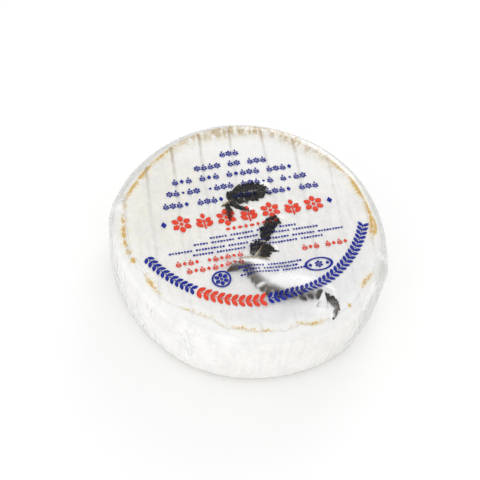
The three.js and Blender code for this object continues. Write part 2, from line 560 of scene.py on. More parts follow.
@dataclass(frozen=True)
class Bridge:
    """A stretch of the rim where the film stands off the cheese."""

    azimuth: float
    width: float
    depth: float
    down_side: bool = False

    def share(self, angle: np.ndarray, level: np.ndarray, height: float) -> np.ndarray:
        """How much of its depth the bridge has at points of the side.

        Args:
            angle: round the axis, in radians.
            level: height of each point.
            height: of the whole wheel.

        Returns:
            From 0 to 1.
        """
        if self.down_side:
            reach = smoothstep(height * 0.94, height * 0.6, level)
        else:
            reach = smoothstep(height * 0.45, height * 0.85, level)
        return bell(turn_from(angle, self.azimuth), 0, self.width) * reach


FILM_BRIDGES = (
    Bridge(158, 20, 2.4), Bridge(135, 14, 1.2), Bridge(24, 24, 2.2), Bridge(60, 12, 1.3),
    Bridge(348, 7, 1.6), Bridge(338, 9, 4.6, True), Bridge(185, 9, 1.5, True),
)
RIM_LINE = tuple(RimSpot(*spot) for spot in (
    (0, 69.2, 0.2), (3, 69.4, 0.5), (6, 69.8, 0.85), (9, 69.9, 0.9), (11.5, 70.4, 0.75),
    (13.5, 71.1, 1.0), (16, 71.5, 0.4), (18, 71.3, 1.2), (20, 71.2, 1.3), (22.5, 71.8, 0.9),
    (25.4, 72.2, 0.6), (27.5, 71.8, 1.1), (30, 71.3, 1.35), (33, 71.2, 1.3), (36, 71.2, 1.1),
    (38.5, 71.8, 0.8), (41, 72, 0.4), (45, 71, 0.3),
    (50, 70.4, 0.55), (57, 70.3, 0.45), (66, 69.8, 0.1), (75, 69.9, 0.3), (84, 72, 0.15),
    (98, 71.4, 0.15), (110, 69.8, 0.15), (127, 71.9, 0.3), (136, 72, 0.3), (146, 71.6, 0.75),
    (152, 71.2, 0.4), (158, 70.7, 1.1), (163, 71.1, 0.5), (168, 71.4, 0.95), (175, 72.8, 0.5),
    (178, 72.7, 0.3), (180, 72.6, 1.1), (182.5, 72.6, 0.2), (185, 72.4, 0.3), (188, 72, 1.1),
    (190, 72, 0.3), (193, 72.3, 1.15), (196, 72.7, 1.1), (198.5, 72.8, 0.3), (201, 73, 1.25),
    (203.4, 73.2, 0.3), (205.3, 73.4, 1.2), (208, 73.5, 0.15), (211, 73.4, 1.0), (213, 73.3, 0.1),
    (219, 71.6, 0.2), (224, 72.3, 0.8), (227, 72.7, 0.65), (231, 73, 0.4), (236, 73.2, 0.15),
    (249, 69, 0.3), (259, 67.9, 0.36), (265, 71.3, 0.28), (270, 70.4, 0.4), (277, 71.5, 0.42),
    (283, 71.5, 0.4), (291, 71.9, 0.15), (298, 69.6, 0.5), (303, 72.6, 0.55), (308, 73.4, 0.35),
    (315, 72.6, 0.05), (320.5, 73, 0), (322, 73.3, 0.95), (323.5, 73, 0), (331, 71.4, 0.02),
    (333.5, 71.2, 0.5), (338, 71.6, 0.6), (342, 72.6, 0.55), (344.5, 73.2, 0.05),
    (352, 71.6, 0.08),
))


class Finish:
    """A material with its own nodes, made once."""

    def __init__(self, name: str) -> None:
        """Makes an empty material.

        Args:
            name: the finish's name.
        """
        self.material = bpy.data.materials.new(name)
        self.material.use_nodes = True
        self.material.node_tree.nodes.clear()
        self.nodes = Nodes(self.material.node_tree)

    def show(self, surface: bpy.types.NodeSocket) -> bpy.types.Material:
        """Ends the tree in an output node and gives the material."""
        self.nodes.add("OutputMaterial", {"Surface": surface})
        return self.material


@dataclass(frozen=True)
class RindFinish:
    """Velvety white mould, ochre where it is rubbed off at the rim and tan in the mat lines."""

    white: Colour = (0.93, 0.92, 0.895, 1)
    cream: Colour = (0.91, 0.885, 0.775, 1)
    shade: Colour = (0.81, 0.805, 0.79, 1)
    bloom: Colour = (0.965, 0.96, 0.945, 1)
    # White of the painted highlight along the rim's bend.
    crest: Colour = (0.985, 0.982, 0.97, 1)
    # Bluish grey of the painted shade where the film stands off.
    film_shade_lilac: Colour = (0.85, 0.845, 0.885, 1)
    straw: Colour = (0.86, 0.74, 0.42, 1)
    ochre: Colour = (0.74, 0.44, 0.03, 1)
    rust: Colour = (0.60, 0.33, 0.05, 1)
    # Grey of the painted shade in the grooves.
    groove_shade: Colour = (0.74, 0.735, 0.715, 1)
    tan: Colour = (0.51, 0.36, 0.145, 1)
    brown: Colour = (0.36, 0.235, 0.10, 1)
    broad: Grain = Grain(22, 3, 0.55, 0.3)
    patch: Grain = Grain(85, 4, 0.62, 0.2)
    blotch: Grain = Grain(130, 3, 0.6, 0.8)
    fine: Grain = Grain(420, 3, 0.65)
    fibre: Grain = Grain(1, 4, 0.6, 0.1)
    speck: Grain = Grain(210, 2)
    wear: Grain = Grain(0.9, 3, 0.6)
    breaks: Grain = Grain(240, 3, 0.6)
    fringe: Grain = Grain(1, 4, 0.68)
    fringe_stretch: tuple[float, float, float] = (0.42, 0.42, 0.13)
    velvet: Grain = Grain(1100, 4, 0.7)
    pit: Grain = Grain(260, 3, 0.55)
    drift: Grain = Grain(60, 2)
    drift_reach: float = 1.2
    lines: MatLines = field(default_factory=MatLines)

    def line_mask(self, nodes: Nodes, where: bpy.types.NodeSocket) -> bpy.types.NodeSocket:
        """Mask of the mat lines over the face.

        Args:
            nodes: the material's nodes.
            where: the piece's Object coordinates.

        Returns:
            1 in a line, 0 between the lines.
        """
        reach = self.drift_reach * MM
        drift = nodes.math("MULTIPLY_ADD", nodes.noise(where, self.drift), 2 * reach, -reach)
        normal = (*self.lines.normal(), 0)
        across = nodes.add("VectorMath", {0: where, 1: normal}, operation="DOT_PRODUCT").outputs["Value"]
        across = nodes.math("ADD", across, drift)
        total: object = 0.0
        for offset in self.lines.offsets:
            gap = nodes.math("ABSOLUTE", nodes.math("SUBTRACT", across, offset * MM))
            line = nodes.step(gap, 0, self.lines.half_width * MM, (1, 0))
            total = nodes.math("ADD", total, line)
        return total

    def mould(self, nodes: Nodes, where: bpy.types.NodeSocket, streak: bpy.types.NodeSocket,
              blotch: bpy.types.NodeSocket) -> bpy.types.NodeSocket:
        """Colours the mould, with yellowed, greyer and whiter patches, a painted bluish shade where the
        film stands off on the near right, and a painted highlight along the rim.

        Args:
            nodes: the material's nodes.
            where: the piece's Object coordinates.
            streak: noise along the mat's grain.
            blotch: noise of the yellowed patches.

        Returns:
            The mould's colour.
        """
        warm = nodes.value("warm")
        patch, fine = nodes.noise(where, self.patch), nodes.noise(where, self.fine)
        yellow = nodes.math("MULTIPLY", warm, nodes.step(blotch, 0.36, 0.62, (0.25, 1.3)))
        creamy = nodes.step(nodes.noise(where, self.broad), 0.4, 0.75, (0, 0.4))
        creamy = nodes.math("ADD", creamy, yellow, clamp=True)
        colour = nodes.mix(creamy, self.white, self.cream)
        # Painted shade: bluish grey on the near right of the face, where the film stands off it.
        colour = nodes.masked(nodes.value("film_shade"), 0.8, colour, self.film_shade_lilac)
        for pattern, low, high, share, tint in (
            (patch, 0.46, 0.7, (0, 0.7), self.shade),
            (patch, 0.25, 0.46, (0.8, 0), self.bloom),
            (streak, 0.46, 0.7, (0, 0.8), self.shade),
            (fine, 0.5, 0.72, (0, 0.6), self.shade),
            (fine, 0.28, 0.46, (0.6, 0), self.bloom),
        ):
            colour = nodes.mix(nodes.step(pattern, low, high, share), colour, tint)
        # Painted highlight just outside the rubbed line, most at the near rim; the far part of the face
        # is made lighter too.
        colour = nodes.masked(nodes.value("crest"), 0.9, colour, self.crest)
        specks = nodes.step(nodes.noise(where, self.speck), 0.66, 0.74, (0, 0.35))
        return nodes.masked(specks, warm, colour, self.straw)

    def rub(self, nodes: Nodes, colour: bpy.types.NodeSocket) -> bpy.types.NodeSocket:
        """Adds the ochre that shows where the mould is rubbed off along the rim.

        Args:
            nodes: the material's nodes.
            colour: the mould's colour.

        Returns:
            The colour with the rubbed line.
        """
        ring = nodes.vector("ring")
        rubbed = nodes.add("Group", {
            "Vector": ring, "Away": nodes.value("rim"), "Amount": nodes.value("ochre"),
        }, node_tree=rubbed_rim_group())
        colour = nodes.mix(rubbed.outputs["Halo"], colour, self.straw)
        worn = nodes.mix(nodes.step(nodes.noise(ring, self.wear), 0.42, 0.62), self.ochre, self.rust)
        return nodes.mix(rubbed.outputs["Rub"], colour, worn)

    def press(self, nodes: Nodes, where: bpy.types.NodeSocket, blotch: bpy.types.NodeSocket,
              colour: bpy.types.NodeSocket) -> bpy.types.NodeSocket:
        """Adds the mat's lines, faint painted shade of the grooves on the face and brown at its far
        side, and the far rim's tan.

        Args:
            nodes: the material's nodes.
            where: the piece's Object coordinates.
            blotch: noise that breaks the faint lines.
            colour: the colour so far.

        Returns:
            The colour with the lines.
        """
        groove = self.line_mask(nodes, where)
        # Painted shade: faint grey along the grooves over the face.
        faint = nodes.math("MULTIPLY", groove, nodes.step(blotch, 0.35, 0.6, (0.1, 0.6)))
        colour = nodes.masked(faint, nodes.value("face"), colour, self.groove_shade)
        lines = nodes.math("MULTIPLY", groove, nodes.value("dark"))
        broken = nodes.step(nodes.noise(where, self.breaks), 0.25, 0.55, (0.6, 1))
        colour = nodes.masked(lines, broken, colour, self.brown)
        fringe = nodes.noise(nodes.stretch(nodes.vector("ring"), self.fringe_stretch), self.fringe)
        far = nodes.math("MULTIPLY", nodes.value("tan"), nodes.step(fringe, 0.4, 0.62))
        return nodes.masked(far, 0.95, colour, self.tan)

    def relief(self, nodes: Nodes, where: bpy.types.NodeSocket,
               streak: bpy.types.NodeSocket) -> bpy.types.NodeSocket:
        """Makes the mould's velvet, its pits and the mat's grain.

        Args:
            nodes: the material's nodes.
            where: the piece's Object coordinates.
            streak: noise along the mat's grain.

        Returns:
            The surface's normal.
        """
        velvet = nodes.math("MULTIPLY", nodes.noise(where, self.velvet), 0.3)
        height = nodes.math("ADD", velvet, nodes.noise(where, self.pit))
        height = nodes.math("ADD", height, nodes.math("MULTIPLY", streak, 0.8))
        return nodes.bump(height, 0.6, 0.8)

    def make(self) -> bpy.types.Material:
        """Builds the material.

        Returns:
            The finish of the cheese itself.
        """
        finish = Finish("rind")
        nodes = finish.nodes
        where = nodes.coordinates()
        streak = nodes.noise(nodes.vector("grain"), self.fibre)
        blotch = nodes.noise(where, self.blotch)
        colour = self.mould(nodes, where, streak, blotch)
        colour = self.rub(nodes, colour)
        colour = self.press(nodes, where, blotch, colour)
        shader = nodes.add("BsdfPrincipled", {
            "Base Color": colour, "Roughness": 0.85, "Specular IOR Level": 0.2,
            "Normal": self.relief(nodes, where, streak),
        })
        return finish.show(shader.outputs[0])


@dataclass(frozen=True)
class FilmFinish:
    """Thin clear film: sharp where it lies on the cheese, hazy where it stands off, with painted grey
    shade and painted sheen.
    """

    clear: Colour = (0.985, 0.985, 0.985, 1)
    grey: Colour = (0.86, 0.865, 0.85, 1)
    # White layer for the painted sheen, and for the film's slight milkiness.
    milk_and_sheen_white: Colour = (0.95, 0.95, 0.955, 1)
    ior: float = 1.45
    tight_to_loose: Plan = (0.1, 0.58)
    grazing_sheen: float = 0.34
    wrinkle_glint: float = 0.16
    crinkle: Grain = Grain(95, 3, 0.5, 0.6)
    crease: Grain = Grain(1, 3, 0.55, 0.5)
    wrinkle: Grain = Grain(60, 4, 0.55, 1.2)

    def relief(self, nodes: Nodes, crinkle: bpy.types.NodeSocket) -> bpy.types.NodeSocket:
        """Makes the film's crinkles, and its creases, deeper down the side.

        Args:
            nodes: the material's nodes.
            crinkle: noise of the crinkles.

        Returns:
            The surface's normal.
        """
        side = nodes.value("side")
        creases = nodes.noise(nodes.vector("wrap"), self.crease)
        depth = nodes.math("MULTIPLY_ADD", side, 0.1, 0.05)
        height = nodes.math("MULTIPLY", nodes.crest(creases, 0.07), depth)
        height = nodes.math("ADD", height, nodes.math("MULTIPLY", crinkle, 0.5))
        height = nodes.math("ADD", height, nodes.math("MULTIPLY", creases, side))
        return nodes.bump(height, 0.13, 0.6)

    def milk_and_sheen(self, nodes: Nodes, where: bpy.types.NodeSocket,
             crinkle: bpy.types.NodeSocket) -> bpy.types.NodeSocket:
        """Mixes in the white layer: painted sheen in the glare patches and at grazing angles, painted
        glints along fine wrinkles and on the folds, and a little real milkiness where the film stands
        off.

        Args:
            nodes: the material's nodes.
            where: the piece's Object coordinates.
            crinkle: noise of the crinkles, which breaks the wrinkles.

        Returns:
            How much of the white layer shows.
        """
        grazing = nodes.add("LayerWeight", {"Blend": 0.5}).outputs["Facing"]
        grazing = nodes.math("POWER", grazing, 4.0)
        # Painted sheen at grazing angles, added to the patches stored with the film.
        milk_and_sheen = nodes.math("MULTIPLY_ADD", grazing, self.grazing_sheen, nodes.value("milk_and_sheen"), clamp=True)
        # Painted glints along fine wrinkles.
        wrinkle = nodes.crest(nodes.noise(where, self.wrinkle), 0.012)
        wrinkle = nodes.math("MULTIPLY", wrinkle, nodes.step(crinkle, 0.46, 0.6))
        return nodes.math("MULTIPLY_ADD", wrinkle, self.wrinkle_glint, milk_and_sheen, clamp=True)

    def make(self) -> bpy.types.Material:
        """Builds the material.

        Returns:
            The film's finish, whose glass lets the lamps through.
        """
        finish = Finish("clear_film")
        nodes = finish.nodes
        where = nodes.coordinates()
        crinkle = nodes.noise(where, self.crinkle)
        normal = self.relief(nodes, crinkle)
        glass = nodes.add("BsdfPrincipled", {
            # Painted shade: the glass is tinted grey where the film stands off the rim, where it is
            # tented and on the folds.
            "Base Color": nodes.mix(nodes.value("standoff_shade"), self.clear, self.grey),
            "Roughness": nodes.step(nodes.value("loose"), 0.06, 1, self.tight_to_loose),
            "IOR": self.ior, "Transmission Weight": 1.0, "Normal": normal,
        })
        milk_and_sheen_white = nodes.add("BsdfPrincipled", {
            "Base Color": self.milk_and_sheen_white, "Roughness": 0.35, "Normal": normal,
        })
        milk_and_sheen = self.milk_and_sheen(nodes, where, crinkle)
        body = nodes.add("MixShader", {0: milk_and_sheen, 1: glass.outputs[0], 2: milk_and_sheen_white.outputs[0]})
        clear = nodes.add("BsdfTransparent", {"Color": self.clear})
        path = nodes.add("LightPath")
        lamps = nodes.math("MAXIMUM", path.outputs["Is Shadow Ray"], path.outputs["Is Diffuse Ray"])
        both = nodes.add("MixShader", {0: lamps, 1: body.outputs[0], 2: clear.outputs[0]})
        return finish.show(both.outputs[0])


@dataclass(frozen=True)
class InkFinish:
    """Ink on the film: it colours what lies under it, and covers some of it."""

    name: str
    colour: Colour
    glow: Colour
    cover: float = 0.86
    over_leaf: float = 0.13
    thin: Grain = Grain(1400, 2)

    def make(self) -> bpy.types.Material:
        """Builds the material.

        Returns:
            The ink's finish.
        """
        finish = Finish(self.name)
        nodes = finish.nodes
        thin = nodes.step(nodes.noise(nodes.coordinates(), self.thin), 0.3, 0.7)
        colour = nodes.masked(thin, 0.22, self.colour, self.glow)
        dim = tuple(self.over_leaf * part for part in self.colour[:3]) + (1,)
        colour = nodes.mix(nodes.value("over"), colour, dim)
        paint = nodes.add("BsdfPrincipled", {"Base Color": colour, "Roughness": 0.35})
        stain = nodes.add("BsdfTransparent", {"Color": self.glow})
        both = nodes.add("MixShader", {0: self.cover, 1: stain.outputs[0], 2: paint.outputs[0]})
        return finish.show(both.outputs[0])


@dataclass(frozen=True)
class FernFinish:
    """Dried fern: near black, with olive veins and brown edges, and lighter brown in patches at its near
    end.
    """

    dark: Colour = (0.004, 0.004, 0.004, 1)
    olive: Colour = (0.05, 0.049, 0.034, 1)
    brown: Colour = (0.05, 0.03, 0.016, 1)
    near_end_brown: Colour = (0.085, 0.052, 0.03, 1)
    mottle: Grain = Grain(420, 4, 0.6)
    pore: Grain = Grain(700, 3, 0.6)
    vein_slant: float = 2.4
    near_end_from_to: Plan = (-24, -34)

    def make(self) -> bpy.types.Material:
        """Builds the material.

        Returns:
            The leaves' finish.
        """
        finish = Finish("dried_fern")
        nodes = finish.nodes
        where = nodes.coordinates()
        across = nodes.math("ABSOLUTE", nodes.value("across"))
        mottle = nodes.noise(where, self.mottle)
        turn = nodes.math("MULTIPLY", nodes.value("along"), 2 * math.pi)
        turn = nodes.math("SUBTRACT", turn, nodes.math("MULTIPLY", across, self.vein_slant))
        veins = nodes.step(nodes.math("SINE", turn), 0.45, 1)
        light = nodes.math("MULTIPLY", veins, nodes.step(mottle, 0.3, 0.6))
        colour = nodes.masked(light, 0.7, self.dark, self.olive)
        edge = nodes.math("MULTIPLY", nodes.step(across, 0.6, 1), nodes.step(mottle, 0.4, 0.6))
        colour = nodes.masked(edge, 0.5, colour, self.brown)
        colour = nodes.mix(nodes.value("tone"), colour, self.brown)
        start, stop = (y * MM for y in self.near_end_from_to)
        near = nodes.step(nodes.add("SeparateXYZ", {0: where}).outputs["Y"], start, stop)
        patches = nodes.step(mottle, 0.35, 0.65, (0.1, 0.75))
        # Lighter brown in patches towards the near end.
        colour = nodes.masked(near, patches, colour, self.near_end_brown)
        rib = nodes.math("MULTIPLY", nodes.step(across, 0.0, 0.14, (1, 0)), 0.6)
        height = nodes.math("ADD", rib, nodes.noise(where, self.pore))
        height = nodes.math("ADD", height, veins)
        shader = nodes.add("BsdfPrincipled", {
            "Base Color": colour, "Roughness": 0.6, "Specular IOR Level": 0.25,
            "Normal": nodes.bump(height, 0.5, 0.4),
        })
        return finish.show(shader.outputs[0])


@dataclass(frozen=True)
class StrawFinish:
    """Dry stalk, straw coloured with brown fibres, and black where it is shaded."""

    straw: Colour = (0.46, 0.38, 0.2, 1)
    brown: Colour = (0.14, 0.075, 0.028, 1)
    black: Colour = (0.012, 0.009, 0.006, 1)
    fibre: Grain = Grain(850, 4, 0.65)
    patch: Grain = Grain(90, 2)

    def make(self) -> bpy.types.Material:
        """Builds the material.

        Returns:
            The stalks' finish.
        """
        finish = Finish("dry_stalk")
        nodes = finish.nodes
        where = nodes.coordinates()
        fibre = nodes.noise(where, self.fibre)
        colour = nodes.mix(nodes.step(nodes.noise(where, self.patch), 0.4, 0.62), self.straw, self.brown)
        colour = nodes.mix(nodes.step(fibre, 0.45, 0.7, (0, 0.5)), colour, self.brown)
        colour = nodes.mix(nodes.value("shade"), colour, self.black)
        shader = nodes.add("BsdfPrincipled", {
            "Base Color": colour, "Roughness": 0.6, "Normal": nodes.bump(fibre, 0.4, 0.3),
        })
        return finish.show(shader.outputs[0])


@dataclass
class Rind:
    """The cheese under the film."""

    form: WheelForm
    lines: MatLines = field(default_factory=MatLines)
    rings: Ring = Ring(around=440, face=84, edge=16, side=26, base=14)
    film_gap: float = 0.25
    line: tuple[RimSpot, ...] = RIM_LINE
    bridges: tuple[Bridge, ...] = FILM_BRIDGES
    worn_depth: float = 0.16
    double_at: float = 9
    double_apart: float = 3.4
    near_rim: float = 262
    far_rim: float = 98
    line_ring: float = 72

    def inset(self, angle: np.ndarray, level: np.ndarray) -> np.ndarray:
        """How far the cheese lies inside the film, more where the film bridges the rim."""
        loose = sum(b.depth * b.share(angle, level, self.form.height) for b in self.bridges)
        return self.film_gap + loose

    def build(self) -> bpy.types.Object:
        """Makes the cheese.

        Returns:
            The piece in millimetres, with the attributes that its finish reads.
        """
        piece = Spun(self.form, self.rings).spin("rind")
        points = read_points(piece.data)
        radius, level = np.hypot(points[:, 0], points[:, 1]), points[:, 2]
        angle = np.arctan2(points[:, 1], points[:, 0])
        share = radius / self.form.radius
        grown = radius + share * self.form.growth(angle)
        edge = smoothstep(0.88, 1, share)
        grown = grown - edge * self.inset(angle, level)
        x, y = grown * np.cos(angle), grown * np.sin(angle)
        upper = smoothstep(self.form.height / 2, self.form.height, level)
        lower = smoothstep(self.form.height / 2, 0, level)
        wave = self.unevenness(x, y, level)
        z = level + upper * (self.form.relief(x, y) - self.film_gap) + lower * self.film_gap * 0.2
        z = z - upper * (1 - edge) * self.lines.depth * self.press(x, y)
        z = z - upper * self.worn_step(angle, radius, level)
        grown = grown + edge * wave
        x, y = grown * np.cos(angle), grown * np.sin(angle)
        write_points(piece.data, np.stack([x, y, z], 1))
        self.mark(piece.data, angle, radius, level, x, y)
        return piece

    def unevenness(self, x: np.ndarray, y: np.ndarray, z: np.ndarray) -> np.ndarray:
        """Slow hollows and rises of the side."""
        wave = np.sin(x / 13 + z / 9 + 1.2) * np.sin(y / 11 - z / 14)
        return -0.25 + 0.22 * wave + 0.1 * np.sin(x / 5 - y / 6 + z / 4)

    def press(self, x: np.ndarray, y: np.ndarray) -> np.ndarray:
        """How strongly the mat presses the face, most on its far part.

        Args:
            x: place across the face.
            y: place away from the camera.

        Returns:
            From 0 to 1.
        """
        across, along = self.lines.normal()
        here, width = x * across + y * along, 0.75 * self.lines.half_width
        total = sum(bell(here, offset, width) for offset in self.lines.offsets)
        return total * smoothstep(-40, 60, y)

    def along_line(self, angle: np.ndarray, values: Sequence[float]) -> np.ndarray:
        """Blends the values of the rubbed line's spots at an angle."""
        azimuths = [spot.azimuth for spot in self.line]
        return np.interp(np.degrees(angle) % 360, azimuths, values, period=360)

    def from_line(self, angle: np.ndarray, radius: np.ndarray, level: np.ndarray) -> np.ndarray:
        """Distance from the rubbed line, measured over the round edge.

        Args:
            angle: round the axis, in radians.
            radius: from the axis.
            level: height of each point.

        Returns:
            More than 0 outside the line, less inside it.
        """
        line = self.along_line(angle, [spot.radius for spot in self.line])
        start = self.form.radius - self.form.top_round
        down = np.maximum(self.form.height - level, 0)
        past = np.where(radius > start, np.hypot(radius - start, down) * 1.05, radius - start)
        return past + start - line

    def worn_step(self, angle: np.ndarray, radius: np.ndarray, level: np.ndarray) -> np.ndarray:
        """Depth of the shallow ragged step along the rubbed line.

        Args:
            angle: round the axis, in radians.
            radius: from the axis.
            level: height of each point.

        Returns:
            How far each point sinks.
        """
        away = self.from_line(angle, radius, level)
        ragged = 0.8 * np.sin(23 * angle + 1) + 0.5 * np.sin(51 * angle)
        return self.worn_depth * bell(away + ragged, 0.3, 1.3)

    def strands(self, angle: np.ndarray, away: np.ndarray) -> np.ndarray:
        """Distance from the rubbed line where it parts into two strands at the right.

        Args:
            angle: round the axis, in radians.
            away: distance from the line as if it were single.

        Returns:
            Distance from the nearer strand, less than 0 inside both.
        """
        half = self.double_apart / 2 * bell(turn_from(angle, self.double_at), 0, 5)
        return np.where(away < 0, away, np.abs(np.abs(away - half) - half))

    def grain(self, angle: np.ndarray, level: np.ndarray, away: np.ndarray,
              x: np.ndarray, y: np.ndarray) -> np.ndarray:
        """Coordinates of the fine streaks, which follow the mat on the face and run down the side.

        Args:
            angle: round the axis, in radians.
            level: height of each point.
            away: distance from the rubbed line.
            x: place across the wheel.
            y: place away from the camera.

        Returns:
            A row of three for each point.
        """
        across, along = self.lines.normal()
        drift = (x * across + y * along) * 0.32
        run = (-x * along + y * across) * 0.035
        on_face = np.stack([drift, run, np.zeros_like(drift)], 1)
        down_side = np.stack([np.cos(angle) * 26, np.sin(angle) * 26, level * 0.05], 1)
        return np.where((away < 0.6)[:, None], on_face, down_side)

    def painted_rim_light(self, angle: np.ndarray, away: np.ndarray, y: np.ndarray) -> np.ndarray:
        """Where the mould is painted whiter: a painted highlight just outside the rubbed line, strongest
        at the near rim, and a lighter stretch on the far part of the face.

        Args:
            angle: round the axis, in radians.
            away: distance from the rubbed line.
            y: place away from the camera.

        Returns:
            From 0 to 1.
        """
        near = 0.35 + 0.65 * bell(turn_from(angle, self.near_rim), 0, 75)
        outside = smoothstep(-7, -1, away) * smoothstep(12, 3, away) * near
        return outside + 0.8 * smoothstep(5, 1, away) * smoothstep(20, 55, y) * smoothstep(-4, -10, away)

    def mark(self, mesh: bpy.types.Mesh, angle: np.ndarray, radius: np.ndarray,
             level: np.ndarray, x: np.ndarray, y: np.ndarray) -> None:
        """Stores where the rubbed line, the mat lines, the tinted patches, the painted shade and the
        painted highlight lie.

        Args:
            mesh: the cheese's mesh.
            angle: of each vertex round the axis.
            radius: of each vertex before it is pushed out of round.
            level: height of each vertex before it is pushed.
            x: place of each vertex across the wheel.
            y: place of each vertex away from the camera.
        """
        form = self.form
        upper = level > form.height / 2
        away = np.where(upper, self.from_line(angle, radius, level), 40)
        face = smoothstep(5, 1, away)
        ring = [np.cos(angle) * self.line_ring, np.sin(angle) * self.line_ring, away]
        far = bell(turn_from(angle, self.far_rim), 0, 46)
        left = bell(x, -60, 34) * smoothstep(-60, 0, y)
        sunny = left + 0.4 * smoothstep(20, 55, y)
        base = bell(level, 2, 5) * 0.8 * (radius > 60)
        store(mesh, "rim", self.strands(angle, away))
        store(mesh, "ring", np.stack(ring, 1))
        store(mesh, "ochre", self.along_line(angle, [spot.ochre for spot in self.line]))
        store(mesh, "dark", face * self.lines.darkness(x, y, form.radius - 6))
        store(mesh, "tan", upper * smoothstep(-7, -1, away) * smoothstep(13, 9, away) * far)
        store(mesh, "face", upper * face)
        # Painted highlight just outside the rubbed line, and the lighter far part of the face.
        store(mesh, "crest", upper * self.painted_rim_light(angle, away, y))
        store(mesh, "grain", self.grain(angle, level, away, x, y))
        store(mesh, "warm", np.clip(sunny * face + base, 0, 1))
        # Painted shade of the film that stands off the near right of the face.
        store(mesh, "film_shade", face * smoothstep(10, -40, y) * smoothstep(-30, 30, x))


Blade = tuple[Plan, Plan, float]
LEAF_LAYERS = ("across", "tone", "along")


@dataclass(frozen=True)
class Spray:
    """A stalk with paired leaflets on it, as the fern's solid has.

    Reach and width are those of the longest leaflet, and lean is its angle to the stalk in
    degrees. The pairs stand between the parts near and far of the stalk. Bias makes one side's
    leaflets longer, vary makes them uneven, and shade darkens the stalk past its foot.
    """

    stalk: tuple[Plan, ...]
    pairs: int
    reach: float
    width: float
    lean: float
    near: float
    far: float
    rise: float = 0.7
    girth: float = 0.45
    bias: float = 0.0
    vary: float = 0.28
    shade: float = 0.0

    def curve(self, part: float) -> tuple[Vector, Vector]:
        """Point and heading on the stalk.

        Args:
            part: 0 at the foot and 1 at the tip.

        Returns:
            The point and the unit heading, both flat.
        """
        points = [Vector((*p, 0)) for p in self.stalk]
        points = [2 * points[0] - points[1]] + points + [2 * points[-1] - points[-2]]
        spans = len(self.stalk) - 1
        index = min(int(part * spans), spans - 1)
        t = part * spans - index
        a, b, c, d = points[index:index + 4]
        spot = 0.5 * (2 * b + (c - a) * t + (2 * a - 5 * b + 4 * c - d) * t ** 2
                      + (3 * b - a - 3 * c + d) * t ** 3)
        way = 0.5 * ((c - a) + 2 * (2 * a - 5 * b + 4 * c - d) * t
                     + 3 * (3 * b - a - 3 * c + d) * t ** 2)
        return spot, way.normalized()

    def blades(self, dice: random.Random) -> list[Blade]:
        """Leaflets on both sides of the stalk, longest at its middle.

        Args:
            dice: for what makes each leaflet its own.

        Returns:
            The foot, the tip and the width of each.
        """
        blades = []
        for i in range(self.pairs):
            part = i / max(1, self.pairs - 1)
            spot, heading = self.curve(self.near + (self.far - self.near) * part)
            for side in (-1, 1):
                taper = 0.45 + 0.55 * math.sin(math.pi * (0.15 + 0.8 * part))
                long = self.reach * taper * (1 + side * self.bias)
                long *= 1 + self.vary * dice.uniform(-1, 0.9)
                turn = side * math.radians(self.lean + 43 * self.vary * dice.uniform(-1, 1))
                tip = spot + Matrix.Rotation(turn, 3, "Z") @ heading * long
                wide = self.width * (0.7 + 0.3 * taper)
                blades.append(((spot.x, spot.y), (tip.x, tip.y), wide))
        return blades


